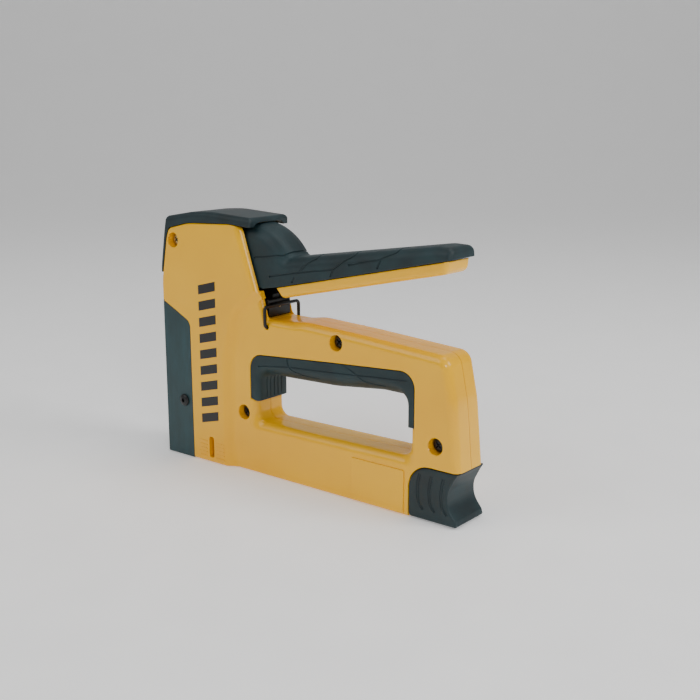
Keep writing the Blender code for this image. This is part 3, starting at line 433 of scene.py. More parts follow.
def new_object(name, work):
    """Object in the scene from a bmesh."""
    mesh = bpy.data.meshes.new(name)
    work.to_mesh(mesh)
    work.free()
    made = bpy.data.objects.new(name, mesh)
    bpy.context.scene.collection.objects.link(made)
    return made


def combined(work, join=(), cut=()):
    """Bmesh of a body after other bmeshes have been joined to it, then cut out of it, in turn."""
    for operation, tool in [('UNION', tool) for tool in join] + [('DIFFERENCE', tool) for tool in cut]:
        body, guide = new_object("body", work), new_object("guide", tool)
        modifier = body.modifiers.new("tool", 'BOOLEAN')
        modifier.operation = operation
        modifier.solver = 'EXACT'
        modifier.object = guide
        graph = bpy.context.evaluated_depsgraph_get()
        mesh = bpy.data.meshes.new_from_object(body.evaluated_get(graph))
        work = bmesh.new()
        work.from_mesh(mesh)
        bmesh.ops.remove_doubles(work, verts=work.verts, dist=WELD * MM)
        for obj in (guide, body):
            bpy.data.objects.remove(obj, do_unlink=True)
    return work


def finish(name, work, finish_name, body, nodes=()):
    """Shade a piece, give it its finish, and hang it on its body."""
    faces, edges = len(work.faces), [e for e in work.edges if len(e.link_faces) != 2]
    made = new_object(name, work)
    made.data.shade_smooth()
    made.data.set_sharp_from_angle(angle=SMOOTH_TO)
    weighted = made.modifiers.new("weighted", 'WEIGHTED_NORMAL')
    weighted.keep_sharp = True
    made.data.materials.append(FINISH[finish_name])
    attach(made, body)
    if nodes:
        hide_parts(*nodes)
    print(f"{name}: {faces} faces, {len(edges)} open edges")
    return made


def box(x, y, z):
    """Box between pairs of x, y and z."""
    work = bmesh.new()
    bmesh.ops.create_cube(work, size=1.0)
    size = Vector((abs(x[1] - x[0]), abs(y[1] - y[0]), abs(z[1] - z[0]))) * MM
    bmesh.ops.scale(work, vec=size, verts=work.verts)
    middle = at((x[0] + x[1]) / 2, (y[0] + y[1]) / 2, (z[0] + z[1]) / 2)
    bmesh.ops.translate(work, vec=middle, verts=work.verts)
    return work


def turned(profile, x, z, steps=32, side=1):
    """Body turned round an axis across the tool, from (radius, y) pairs that start and end on it."""
    work = bmesh.new()
    verts = [work.verts.new(at(x + radius, side * y, z)) for radius, y in profile]
    edges = [work.edges.new(pair) for pair in zip(verts, verts[1:])]
    bmesh.ops.spin(work, geom=verts + edges, cent=at(x, 0.0, z), axis=(0.0, 1.0, 0.0),
                   angle=2 * math.pi, steps=steps, use_merge=True)
    bmesh.ops.remove_doubles(work, verts=work.verts, dist=WELD_TURNED * MM)
    bmesh.ops.recalc_face_normals(work, faces=work.faces)
    return work


def rod(radius, x, z, y_from, y_to, steps=32):
    """Plain cylinder across the tool."""
    return turned([(0.0, y_from), (radius, y_from), (radius, y_to), (0.0, y_to)], x, z, steps)


def tube(points, radius, sides=3):
    """Round wire through frame points."""
    curve = bpy.data.curves.new("wire", 'CURVE')
    curve.dimensions = '3D'
    curve.bevel_depth = radius * MM
    curve.bevel_resolution = sides
    curve.use_fill_caps = True
    spline = curve.splines.new('POLY')
    spline.points.add(len(points) - 1)
    for target, point in zip(spline.points, points):
        target.co = (*point, 1.0)
    drawn = bpy.data.objects.new("wire", curve)
    bpy.context.scene.collection.objects.link(drawn)
    graph = bpy.context.evaluated_depsgraph_get()
    mesh = bpy.data.meshes.new_from_object(drawn.evaluated_get(graph))
    bpy.data.objects.remove(drawn, do_unlink=True)
    work = bmesh.new()
    work.from_mesh(mesh)
    bmesh.ops.remove_doubles(work, verts=work.verts, dist=WELD_WIRE * MM)
    bmesh.ops.recalc_face_normals(work, faces=work.faces)
    return work


# %% [markdown]
# ## The die-cast body
# Two halves meet on the middle plane with a fine parting line. The wide nose flows down to
# the narrower body in a soft step, and the body's rear and top edges are generously rounded.
# Each half is a lofted body joined to a lofted nose, then cut for the hand hole, the screws,
# the staple window, the magazine and the lever.

# %% Outlines of the casting
KNOB = spans("magazine_knob")
KNOB_FRONT = KNOB[0][0]
SHELF = KNOB[2][1] + GAP
KNOB_RADIUS = 11.0
HAND_FRONT = NOSE_DEPTH + 14.3
HAND_REAR = LENGTH - 26.6
HAND_FLOOR = 27.6
LINER_FOOT = spans("grip_liner")[2][0] - GAP
POCKET = 3.6
STEP_WIDTH = 7.5
EDGE_ROUND = 4.5
TOP_X = NOSE_DEPTH + 1.0   # rear end of the nose's top edge
KNEE_X = 0.41 * TOP_X      # where that edge bends down towards the front


def nose_outline():
    """Side view of the nose, anticlockwise from its front foot: (x, z, corner radius)."""
    return [
        (NOSE_FRONT, 0.0, 0.0),
        (NOSE_DEPTH, 0.0, 0.0),
        (NOSE_DEPTH + 0.8, DECK - 24.0, 20.0),
        (NOSE_DEPTH + 6.6, DECK - 0.9, 8.0),
        (NOSE_DEPTH + 20.4, DECK + 10.6, 0.0),
        (NOSE_DEPTH + 8.2, NOSE_TOP - 1.0, 3.8),
        (TOP_X, NOSE_TOP, 20.0),
        (KNEE_X, NOSE_TOP - 1.4, 30.0),
        (7.0, NOSE_TOP - 4.9, 3.4),
        (5.0, NOSE_TOP - 9.1, 20.0),
        (NOSE_FRONT, NOSE_TOP - 33.1, 30.0),
    ]


def body_outline():
    """Side view of the body behind the nose, with the knob's corner left out of it."""
    front = KNOB_FRONT - GAP
    return [
        (NOSE_DEPTH - 8.0, 0.0, 0.0),
        (front, 0.0, 0.0),
        (front, SHELF, KNOB_RADIUS + GAP),
        (LENGTH, SHELF, 0.0),
        (LENGTH - 2.9, (SHELF + DECK) / 2 + 2.6, 60.0),
        (LENGTH - 7.6, DECK - 3.6, 6.5),
        (NOSE_DEPTH + 81.0, DECK - 0.2, 80.0),
        (NOSE_DEPTH + 46.0, DECK + 1.5, 30.0),
        (NOSE_DEPTH + 35.0, DECK - 0.1, 25.0),
        (NOSE_DEPTH + 22.4, DECK, 3.0),
        (NOSE_DEPTH + 19.8, DECK + 9.5, 0.0),
        (NOSE_DEPTH + 4.0, DECK + 16.0, 0.0),
        (NOSE_DEPTH - 8.0, DECK - 20.0, 0.0),
    ]


def hand_outline():
    """Hand hole, with the pockets that the liner's two feet sit in."""
    return [
        (HAND_FRONT, HAND_FLOOR, 7.0),
        (HAND_REAR, HAND_FLOOR + 1.0, 7.0),
        (HAND_REAR, LINER_FOOT + 4.2, 0.5),
        (HAND_REAR + 2.2, LINER_FOOT + 4.2, 0.5),
        (HAND_REAR + 2.2, DECK - 12.8, 8.0),
        ((HAND_FRONT + HAND_REAR) / 2, DECK - 15.8, 100.0),
        (HAND_FRONT - POCKET, DECK - 19.3, 8.0),
        (HAND_FRONT - POCKET, LINER_FOOT + 1.0, 0.5),
        (HAND_FRONT, LINER_FOOT, 0.5),
    ]


def step_back(depth):
    """How far the nose's rear edge stands forward at a depth: a soft S from the nose to the body."""
    drop = NOSE_HALF - BODY_HALF
    if depth >= drop:
        return 0.0
    return STEP_WIDTH * (1 - math.acos(1 - 2 * depth / drop) / math.pi)


def nose_layers(side):
    """Layers of the nose, whose rear lower edges follow the step."""
    radii = [1.0, 0.0, 0.0, 0.0, EDGE_ROUND, 0.8, 0.8, 0.8, 1.0, 1.0, 1.0]
    layers = [(side * GAP / 2, nose_outline())]
    for depth in depths(radii + [3.4, 2.2]):
        distances = [quarter(depth, radius) for radius in radii]
        distances[1:4] = [step_back(depth)] * 3
        layers.append((side * (NOSE_HALF - depth), moved_in(nose_outline(), distances)))
    return layers


print("nose and body outlines:", len(nose_outline()), "and", len(body_outline()), "corners")

# %% [markdown]
# A casting gets its holes from cores and machining, and here from cutters: the hand hole, the
# hollow inside, the bay for the lever, the seat of the plate and a stepped recess per screw.

# %% Tools that cut the casting
SCREW_HOLE = 2.2
RECESS_RADIUS = 3.95
RECESS_DEPTH = 3.0
HEAD_HEIGHT = 2.2
BOSS_RADIUS = 5.4
CAP_BOSS_RADIUS = 4.8
RIM = 0.35


def screws():
    """Name, x, z and half width at each body screw, from the CAD screws."""
    made = []
    for name in ("housing_screw_front", "housing_screw_top", "housing_screw_rear", "cap_screw"):
        x, _, z = middle(name)
        made.append((name, x, z, NOSE_HALF if name == "cap_screw" else BODY_HALF))
    return made


def hand_cutter(side):
    """Hand hole: a wide rounding along its floor, a crisp edge round the liner's pocket."""
    radii = [EDGE_ROUND, 3.0, 0.3, 0.3, 0.3, 0.3, 0.3, 0.3, EDGE_ROUND]
    layers = [(1.0, hand_outline())]
    for depth in depths(radii)[:-1] + [0.02]:
        distances = [-quarter(depth, radius) for radius in radii]
        layers.append((depth - BODY_HALF, moved_in(hand_outline(), distances)))
    layers.append((-BODY_HALF - 4.0, layers[-1][1]))
    cutter = loft(layers)
    if side > 0:
        bmesh.ops.scale(cutter, vec=(1.0, -1.0, 1.0), verts=cutter.verts)
        bmesh.ops.reverse_faces(cutter, faces=cutter.faces)
    return cutter


def hollow_cutter(side):
    """Hollow of the body, clear of the hand hole's wall."""
    inner = moved_in(body_outline(), [WALL] * len(body_outline()))
    wall = moved_in(hand_outline(), [-WALL] * len(hand_outline()))
    wall = [(x, z, max(radius, WALL)) for x, z, radius in wall]
    hollow = slab(inner, -side, side * (BODY_HALF - WALL))
    return combined(hollow, cut=[slab(wall, -side * 3, side * (BODY_HALF + 3))])


def bay_cutter(side):
    """Bay that the dome of the lever swings in."""
    corners = [
        (PIVOT_X - 24.0, DECK + 3.0, 0.0),
        (NOSE_DEPTH + 3.6, DECK + 3.0, 0.0),
        (NOSE_DEPTH + 17.0, DECK + 14.2, 0.0),
        (NOSE_DEPTH + 30.0, DECK + 14.2, 0.0),
        (NOSE_DEPTH + 30.0, NOSE_TOP + 12.0, 0.0),
        (PIVOT_X - 24.0, NOSE_TOP + 12.0, 0.0),
    ]
    return slab(corners, -side, side * (NOSE_HALF - NOSE_WALL))


def plate_outline():
    """Side view of the nose plate, whose rear edge slants forward at the top."""
    return [
        (0.0, 0.0, 0.0),
        (PLATE_DEPTH, 0.0, 0.0),
        (PLATE_DEPTH - 0.2, PLATE_TOP - 10.2, 5.0),
        (9.5, PLATE_TOP - 4.4, 20.0),
        (0.0, PLATE_TOP, 0.0),
    ]


def recess(side, x, z, surface):
    """Recess for a screw's head, with a small rounding at its rim."""
    floor = surface - RECESS_DEPTH - HEAD_HEIGHT - GAP
    profile = [(0.0, floor), (RECESS_RADIUS, floor), (RECESS_RADIUS, surface - RIM),
               (RECESS_RADIUS + RIM, surface), (RECESS_RADIUS + 2 * RIM, surface + RIM),
               (RECESS_RADIUS + 2 * RIM, surface + 2), (0.0, surface + 2)]
    return turned(profile, x, z, side=side)


CORE_HALF = 10.0
NECK_HALF = 8.9
CHANNEL = spans("magazine_channel")
BAIL = spans("lock_bail")
BAIL_WIRE = 0.9
BAIL_HOLE = 1.3
NOSE_SCREW_X, _, NOSE_SCREW_Z = middle("nose_screw_left")
STRIP_FOOT = NOSE_TOP - 29.0
WINDOW_X = NOSE_DEPTH - 15.8
WINDOW_HALF = 1.8
WINDOW_Z = (2.6, 14.2)


def window_cutter(side):
    """Rounded slot that shows how many staples are left."""
    corners = rectangle((WINDOW_X - WINDOW_HALF, WINDOW_X + WINDOW_HALF), WINDOW_Z, 1.2)
    return slab(corners, side * 8.0, side * (NOSE_HALF + 1))


def front_cutters(side):
    """Seat of the plate, and the way of the blade."""
    beyond = side * (NOSE_HALF + 3)
    outline = moved_in(plate_outline(), [-GAP] * 5)
    return [
        slab(outline, side * (NOSE_HALF - PLATE_SHEET - GAP), beyond),
        box((-5.0, PLATE_SHEET + GAP), (-side, beyond), (-2.0, PLATE_TOP + GAP)),
        box((-5.0, PLATE_SHEET + NOSE_WALL + 0.1), (-side, side * 8.2), (-2.0, PLATE_TOP - 2.0)),
        rod(SCREW_HOLE, NOSE_SCREW_X, NOSE_SCREW_Z, side * (CORE_HALF + 0.8), side * NOSE_HALF),
    ]


print("screws at:", [(name, round(x, 1), round(z, 1)) for name, x, z, _ in screws()])

# %% [markdown]
# Small raised marks finish the casting: five short lines on each side of the staple window,
# a plain raised pad near the magazine, and the screw bosses inside.

# %% Raised marks
MARK_PROUD = 0.22
PAD_PROUD = 0.75
PAD_X = (128.9, 160.4)
PAD_Z = (0.6, 22.0)


def window_marks(side):
    """Short raised lines beside the window, in one bmesh."""
    work = bmesh.new()
    for row in range(5):
        z = WINDOW_Z[0] + 2.1 * row + 0.3
        for x in (WINDOW_X - 9.3, WINDOW_X + 3.4):
            made = bmesh.ops.create_cube(work, size=1.0)["verts"]
            bmesh.ops.scale(work, vec=Vector((6.0, 2 * MARK_PROUD, 0.45)) * MM, verts=made)
            bmesh.ops.translate(work, vec=at(x + 3.0, side * NOSE_HALF, z), verts=made)
    return work


def pad(side):
    """Plain raised panel near the magazine's end."""
    corners = rectangle(PAD_X, PAD_Z, 1.0)
    return loft(side_layers(corners, [0.5] * 4, BODY_HALF - 1.0, BODY_HALF + PAD_PROUD, side))


print(f"marks stand {MARK_PROUD} mm proud, the pad {PAD_PROUD} mm")

# %% [markdown]
# The two halves are made by one function, told which side it is on. The bosses that the
# screws pull together are joined only after the hollow is cut, or they would be cut away.

# %% The two halves
def casting_half(side):
    """One half of the body; side is -1 for the left half."""
    radii = [0.8, 0.6, 0.6] + [EDGE_ROUND] * 5 + [3.4, 3.4, 1.0, 1.0, 0.0]
    body = loft(side_layers(body_outline(), radii, GAP / 2, BODY_HALF, side))
    core = moved_in(nose_outline(), [NOSE_WALL] * 11)
    core = [(max(x, PLATE_SHEET + NOSE_WALL), z, radius) for x, z, radius in core]
    body = combined(
        body,
        join=[loft(nose_layers(side)), pad(side), window_marks(side)],
        cut=[
            hand_cutter(side),
            hollow_cutter(side),
            slab(core, -side, side * CORE_HALF),
            bay_cutter(side),
            box((NOSE_DEPTH - 2, NOSE_DEPTH + 30), (-side, side * NECK_HALF), (DECK + 0.2, DECK + 16.5)),
        ])
    bosses = []
    for name, x, z, surface in screws():
        radius = CAP_BOSS_RADIUS if name == "cap_screw" else BOSS_RADIUS
        bosses.append(rod(radius, x, z, side * GAP / 2, side * (surface - 1)))
    cutters = front_cutters(side) + [window_cutter(side)]
    cutters.append(box((KNOB_FRONT - 14.0, KNOB_FRONT + 8.0), (-side, side * (BODY_HALF - WALL)),
                       (CHANNEL[2][0], CHANNEL[2][0] + 13.8)))
    for _, x, z, surface in screws():
        if side < 0:
            cutters += [rod(SCREW_HOLE, x, z, 1.0, -surface), recess(side, x, z, surface)]
        else:
            cutters.append(rod(SCREW_HOLE, x, z, -1.0, surface - WALL - 1.0))
    cutters.append(rod(BAIL_HOLE, NOSE_DEPTH + 23.2, BAIL[2][0] + BAIL_WIRE,
                       side * (BODY_HALF - WALL - 1.0), side * (BODY_HALF + 1.0), 20))
    return combined(body, join=bosses, cut=cutters)


for side, word in ((-1, "left"), (1, "right")):
    finish("casting_" + word, casting_half(side), "enamel", "body", ["housing_" + word])

# %% [markdown]
# ## The cap
# A moulded nylon cap closes the top of the nose. It is a slab like the casting, with a wide
# rounding along its upper edges, a strip that runs down the front, and an arch at the back
# for the lever's dome. The arch is the dome's own circle, a little larger.

# %% Cap
DOME_RADIUS = 40.6
ARCH = 3.6


def cap_outline():
    """Side view of the cap, from its strip's foot up the inside, back, and down outside."""
    rear = NOSE_DEPTH + 15.2
    return [
        (NOSE_FRONT + 0.5, STRIP_FOOT, 0.3),
        (4.68, NOSE_TOP - 9.0, 20.0),
        (6.8, NOSE_TOP - 4.55, 3.4),
        (KNEE_X, NOSE_TOP - 1.4 + GAP, 30.0),
        (TOP_X, NOSE_TOP + GAP, 0.0),
        (rear, NOSE_TOP - 0.9, 0.5),
        (rear + 0.3, NOSE_TOP + 3.9, 2.0),
        (36.5, NOSE_TOP + 5.5, 60.0),
        (23.8, NOSE_TOP + 4.7, 40.0),
        (4.0, NOSE_TOP + 1.3, 2.6),
        (2.4, NOSE_TOP - 7.6, 20.0),
        (0.1, NOSE_TOP - 22.6, 20.0),
        (0.1, STRIP_FOOT, 0.3),
    ]


def bevelled(work, width, angle=40, segments=3):
    """Round every edge sharper than an angle."""
    sharp = [edge for edge in work.edges if edge.calc_face_angle(0.0) > math.radians(angle)]
    blunt(work, sharp, width, segments, clamp=True)
    return work


def top_cap():
    """Cap, arched underneath by a body turned about the pivot."""
    radii = [0.3, 0.3, 0.3, 0.3, 0.3, 1.6, 2.9, 2.9, 2.9, 2.2, 1.4, 0.5, 0.3]
    cap = rounded(cap_outline(), radii, NOSE_HALF - 0.1)
    swing, reach = NOSE_HALF - NOSE_WALL - GAP, DOME_RADIUS + 0.4
    profile = [(0.0, -swing)]
    for step in range(7):
        angle = step / 6 * math.pi / 2
        profile.append((reach - ARCH * (1 - math.sin(angle)), -swing + 1.3 * ARCH * (1 - math.cos(angle))))
    profile += [(radius, -y) for radius, y in reversed(profile)]
    return combined(cap, cut=[turned(profile, PIVOT_X, PIVOT_Z, 128)])


finish("top_cap_moulding", top_cap(), "nylon", "body", ["top_cap"])

# %% [markdown]
# ## The nose plate and its screws
# A hardened sheet is folded round the front, and the staples leave between it and the blade.
# The fold's outer corner is rounder than its inner one by the sheet's thickness. Two button
# heads with a hexagon socket hold it.

# %% Nose plate and button screws
FOLD = 1.6
SOCKET = 1.25
BUTTON_RADIUS = 3.25
BUTTON_HEIGHT = 1.5
SCREW_RADIUS = 1.9


def folded(work, width):
    """Round the two upright edges at the front of a body."""
    front = min(vert.co.x for vert in work.verts)
    upright = [edge for edge in work.edges
               if all(abs(vert.co.x - front) < 1e-6 for vert in edge.verts)
               and abs(edge.verts[0].co.y - edge.verts[1].co.y) < 1e-6]
    blunt(work, upright, width, CORNER_STEPS)
    return work


def nose_plate():
    inside = NOSE_HALF - PLATE_SHEET
    plate = folded(slab(plate_outline(), -NOSE_HALF, NOSE_HALF), FOLD)
    core = box((PLATE_SHEET, PLATE_DEPTH + 5), (-inside, inside), (-5, PLATE_TOP + 5))
    hole = rod(SCREW_HOLE, NOSE_SCREW_X, NOSE_SCREW_Z, -NOSE_HALF - 2, NOSE_HALF + 2)
    return combined(plate, cut=[folded(core, FOLD - PLATE_SHEET), hole])


def button_screw(side):
    """Screw with a domed head and a hexagon socket, on one side."""
    seat = NOSE_HALF + 0.05
    end = CORE_HALF + 1.1
    rim = seat + 0.35
    profile = [(0.0, end), (SCREW_RADIUS, end), (SCREW_RADIUS, seat + 0.2), (BUTTON_RADIUS, seat + 0.2),
               (BUTTON_RADIUS, rim)]
    for step in range(1, 6):
        angle = step / 6 * math.pi / 2
        dome = (BUTTON_HEIGHT - 0.35) * math.sin(angle)
        profile.append((BUTTON_RADIUS * math.cos(angle) ** 0.8, rim + dome))
    profile.append((0.0, seat + BUTTON_HEIGHT))
    head = turned(profile, NOSE_SCREW_X, NOSE_SCREW_Z, 40, side)
    top = seat + BUTTON_HEIGHT
    socket = rod(SOCKET, NOSE_SCREW_X, NOSE_SCREW_Z, side * (top - 1.0), side * (top + 1), 6)
    return combined(head, cut=[socket])


finish("nose_plate_sheet", nose_plate(), "oxide", "body", ["nose_plate"])
for side, word in ((-1, "left"), (1, "right")):
    finish("button_screw_" + word, button_screw(side), "black_steel", "body", ["nose_screw_" + word])

# %% [markdown]
# The body is held by pan-head screws with a cross recess, set deep in the left half. The one
# behind the cap is zinc plated, which gives its recess a golden bottom.

# %% Body screws
SCREW_HEAD = 3.5


def pan_screw(x, z, surface):
    """Screw of the left side, whose head has a cross of two crossed slots."""
    top = surface - RECESS_DEPTH
    end = -(surface - WALL - 2.5)
    profile = [(0.0, top), (1.6, top), (2.6, top - 0.15), (3.2, top - 0.5), (SCREW_HEAD, top - 1.1),
               (SCREW_HEAD, top - HEAD_HEIGHT), (SCREW_RADIUS, top - HEAD_HEIGHT),
               (SCREW_RADIUS, end), (0.0, end)]
    slots = []
    for turn in (45, 135):
        blade = box((x - 1.8, x + 1.8), (-top - 0.5, -top + 1.2), (z - 0.35, z + 0.35))
        turning = Matrix.Rotation(math.radians(turn), 3, 'Y')
        bmesh.ops.rotate(blade, cent=at(x, 0, z), matrix=turning, verts=blade.verts)
        slots.append(blade)
    return combined(turned(profile, x, z, 40, side=-1), cut=slots)


for name, x, z, surface in screws():
    kind = ("zinc", "zinc_steel") if name == "cap_screw" else ("black_steel", "blackened_steel")
    finish(name + "_cross", pan_screw(x, z, surface), kind[0], "body", [name])

# %% [markdown]
# ## The finger liner
# A soft liner sits in the hand hole. Its sides are flat bands; between them its lower face
# swells into an oval, so that it fills the fingers. Each ring therefore stands back along
# that face by an ellipse, and the fine seams are cut last, by wires laid on the surface.

# %% Wires laid on a surface
GUIDE_STEP = 1.2


def on_surface(tree, guide):
    """Points on the surface nearest to a guide line of frame points, which is smoothed first."""
    points = []
    for one, two in zip(guide, guide[1:]):
        steps = max(1, round((two - one).length / (GUIDE_STEP * MM)))
        points += [one.lerp(two, step / steps) for step in range(steps)]
    points.append(guide[-1])
    for _ in range(3):
        between = [(a + 2 * b + c) / 4 for a, b, c in zip(points, points[1:], points[2:])]
        points = [points[0]] + between + [points[-1]]
    return [tree.find_nearest(point)[0] for point in points]


def seam_tools(work, guides, radius):
    """Cutters for narrow seams along guides that lie near the surface of a body."""
    tree = BVHTree.FromBMesh(work)
    return [tube(on_surface(tree, guide), radius, sides=1) for guide in guides]


# %% [markdown]
# The liner's outline follows the hand hole outside, a clearance away, and its own belly
# inside. Its front end is a flat foot with five ribs, and the belly's ring is the oval.

# %% Liner
LINER_FRONT = 6.3
LINER_TOP = 12.6
LINER_REAR = 4.4
BAND_LIFT = 7.6
SEAM_RADIUS = 0.42
RIB_PITCH = 2.8


def liner_outline():
    """Side view of the liner: the hand hole's edge outside, its own belly inside."""
    outer = moved_in(hand_outline(), [GAP] * 9)[3:8]
    inside_front = HAND_FRONT - POCKET + LINER_FRONT
    inside_rear = HAND_REAR + 2.2 - LINER_REAR
    belly = DECK - 12.8 - 4.2 - LINER_TOP
    return outer + [
        (HAND_FRONT - GAP, LINER_FOOT + GAP, 1.0),
        (inside_front, LINER_FOOT + GAP, 0.5),
        (inside_front, belly - 0.6, 4.0),
        (inside_front + 16.0, belly - 0.8, 30.0),
        ((inside_front + inside_rear) / 2, belly, 60.0),
        (inside_rear - 18.0, belly + 3.0, 30.0),
        (inside_rear, belly + 2.8, 5.0),
        (inside_rear, LINER_FOOT + 4.2 + GAP, 0.5),
    ]


def oval(y, half, height):
    """How far an oval face stands back at y."""
    return height * (1 - math.sqrt(max(0.0, 1 - (y / half) ** 2)))


def grip_liner():
    half = BODY_HALF - 0.1
    corners = liner_outline()
    radii = [0.3, 0.3, 0.3, 0.3, 0.5, 0.5, 3.0, 0.0, 0.0, 0.0, 0.0, 2.2, 0.5]
    layers = []
    for step in range(-12, 13):
        y = half * math.sin(step / 12 * math.pi / 2)
        distances = [quarter(half - abs(y), radius) for radius in radii]
        distances[7:11] = [oval(y, half, BAND_LIFT)] * 4
        layers.append((y, moved_in(corners, distances)))
    return loft(layers)


def liner_seams(work):
    """The seam of each side band, and the wavy lines that cross it."""
    half = BODY_HALF
    band = [(67.5, 57.6), (87.4, 60.4), (102.7, 61.2), (126.6, 62.7), (144.0, 64.0), (161.0, 65.0)]
    waves = [
        [(87.4, 64.8), (88.2, 60.5), (92.0, 58.4), (98.0, 57.0), (108.0, 56.4)],
        [(122.5, 67.0), (127.6, 65.6), (132.4, 62.9), (136.8, 60.2), (143.0, 59.0), (148.0, 59.0)],
    ]
    guides = []
    for side in (-1, 1):
        for line in [band] + waves:
            guides.append([at(x, side * half, z) for x, z in line])
    for rib in range(-2, 3):
        guides.append([at(HAND_FRONT + 2.7, RIB_PITCH * rib, z) for z in (LINER_FOOT + 1.4, 51.5)])
    return seam_tools(work, guides, SEAM_RADIUS)


liner = grip_liner()
seams = liner_seams(liner)
finish("finger_liner", combined(liner, cut=seams), "elastomer", "body", ["grip_liner"])

# %% [markdown]
# ## The lever
# The grip is a soft moulding over a painted handle: a straight bar whose top is gently
# crowned, rising at the front into a dome that stays closed against the cap as it turns.
# The dome's outline is a formula, an arc about the pivot that draws in towards the back.

# %% Grip
LEVER_TIP = LENGTH - 6.5
LEVER_SLOPE = 0.2182
GRIP_SLOPE = 0.148
SEAM_BACK = 11.4
SEAM_RISE = 9.3
HANDLE_THICK = 5.9
GRIP_THICK = 14.0
GRIP_HALF = 10.8
HANDLE_HALF = 9.6
ARM_HALF = 2.5
GROOVE_RADIUS = 0.6
DOME_BACK = 34      # degrees from straight above the pivot to the dome's ends
DOME_FRONT = -21
DOME_DRAW = 7.2     # how far its back is drawn in
DOME_STEPS = 14


def seam_z(x):
    """Height of the line where the grip sits on the handle."""
    return PIVOT_Z + SEAM_RISE + (x - PIVOT_X - SEAM_BACK) * LEVER_SLOPE


def grip_z(x):
    """Height of the grip's top along the bar."""
    start = PIVOT_X + 21.0
    return seam_z(start) + GRIP_THICK + (x - start) * GRIP_SLOPE


def dome_corner(angle):
    """Point of the dome at an angle back from straight above the pivot."""
    drawn_in = DOME_DRAW * (max(0.0, angle + 3) / (DOME_BACK + 3)) ** 1.1
    bend = math.radians(angle)
    radius = DOME_RADIUS - drawn_in
    return (PIVOT_X + radius * math.sin(bend), PIVOT_Z + radius * math.cos(bend), 0.0)


def grip_outline():
    """Side view of the grip: along the handle, round the tip, back, and over the dome."""
    tip = LEVER_TIP
    front = PIVOT_X + SEAM_BACK - 8.0
    back = PIVOT_X + 20.6
    span = DOME_BACK - DOME_FRONT
    dome = [dome_corner(DOME_BACK - span * step / DOME_STEPS) for step in range(DOME_STEPS + 1)]
    return [
        (front, PIVOT_Z + 8.2, 0.5),
        (front + 8.0, seam_z(front + 8.0) + GAP, 0.0),
        (tip, seam_z(tip) + GAP, 0.5),
        (tip - 0.5, grip_z(tip) - 1.6, 5.0),
        (tip - 9.0, grip_z(tip - 9.0), 10.0),
        (back, grip_z(back), 2.0),
    ] + dome + [(PIVOT_X - 14.5, PIVOT_Z + 12.0, 2.0)]


def arm_outline():
    """Steel arm, used here to keep its slot clear in the grip and the handle."""
    tail = PIVOT_X + 46.0
    handle = HANDLE_THICK
    return [
        (PIVOT_X - 15.0, PIVOT_Z - 4.8, 5.0),
        (PIVOT_X - 2.5, PIVOT_Z - 3.5, 2.0),
        (PIVOT_X + 3.5, PIVOT_Z - 3.5, 3.0),
        (PIVOT_X + 2.6, PIVOT_Z + 4.6, 1.0),
        (PIVOT_X + 14.0, seam_z(PIVOT_X + 14.0) - handle + 2.6, 2.0),
        (tail, seam_z(tail) - handle + 2.4, 1.0),
        (tail, seam_z(tail) + 3.0, 1.0),
        (PIVOT_X + 9.0, PIVOT_Z + 14.4, 6.0),
        (PIVOT_X - 15.0, PIVOT_Z + 3.6, 8.0),
    ]


def arm_way():
    """Slot for the arm, a clearance wider than the arm all round."""
    return slab(moved_in(arm_outline(), [-GAP] * 9), -ARM_HALF - GAP, ARM_HALF + GAP)


def lever_grip():
    """Grip whose top is crowned: each edge is rounded, and set in by a parabola across it."""
    corners = grip_outline()
    domes = DOME_STEPS + 1
    radii = [0.4, 0.7, 3.0, 4.0, 4.6] + [6.8] * domes + [0.5, 0.4]
    crowns = [0.0, 0.0, 0.4, 0.9, 0.9] + [1.0] * domes + [0.0, 0.0]
    layers = []
    for depth in [GRIP_HALF, GRIP_HALF * 0.75] + depths(radii):
        y = GRIP_HALF - depth
        distances = [quarter(depth, radius) + crown * (y / GRIP_HALF) ** 2
                     for radius, crown in zip(radii, crowns)]
        layers.append((y, moved_in(corners, distances)))
    return loft([(-y, outline) for y, outline in reversed(layers[1:])] + layers)


def across_top(line, drift):
    """Guide up the left side, over the top and down the right side, from (x, z) side points."""
    top_x = line[-1][0]
    left = [at(x, -GRIP_HALF, z) for x, z in line]
    over = [at(top_x + 0.6 + drift * (1 - abs(y) / GRIP_HALF), y, grip_z(top_x) + 1)
            for y in (-7, -3.5, 0, 3.5, 7)]
    right = [at(x, GRIP_HALF, z) for x, z in reversed(line)]
    return left + over + right


def grip_lines():
    """Tread lines moulded into the grip."""
    guides = [
        across_top([(95.8, 108.8), (99.2, 112.3), (103.0, 115.6), (106.0, 117.4)], -2.2),
        across_top([(75.8, 104.8), (90.0, 107.7), (104.0, 110.2), (116.6, 112.0), (122.0, 115.7),
                    (129.0, 120.6)], -1.8),
        across_top([(126.5, 115.2), (136.0, 117.6), (143.4, 119.0), (148.4, 121.3), (153.6, 124.2)], -1.0),
    ]
    for side in (-1, 1):
        for line in ([(117.2, 112.2), (115.4, 108.6)], [(145.4, 119.6), (143.2, 115.2)],
                     [(92.6, 106.0), (90.8, 103.4)]):
            guides.append([at(x, side * GRIP_HALF, z) for x, z in line])
    rising = [(65.6, 113.6), (75.0, 114.9), (85.0, 116.4)]
    left = [at(x, -GRIP_HALF, z) for x, z in rising]
    right = [at(x, GRIP_HALF, z) for x, z in reversed(rising)]
    return guides + [left + [at(87.0, 0.0, 117.6)] + right]


grip = lever_grip()
lines = seam_tools(grip, grip_lines(), GROOVE_RADIUS)
finish("soft_grip", combined(grip, cut=[arm_way()] + lines), "elastomer", "lever", ["lever_grip"])

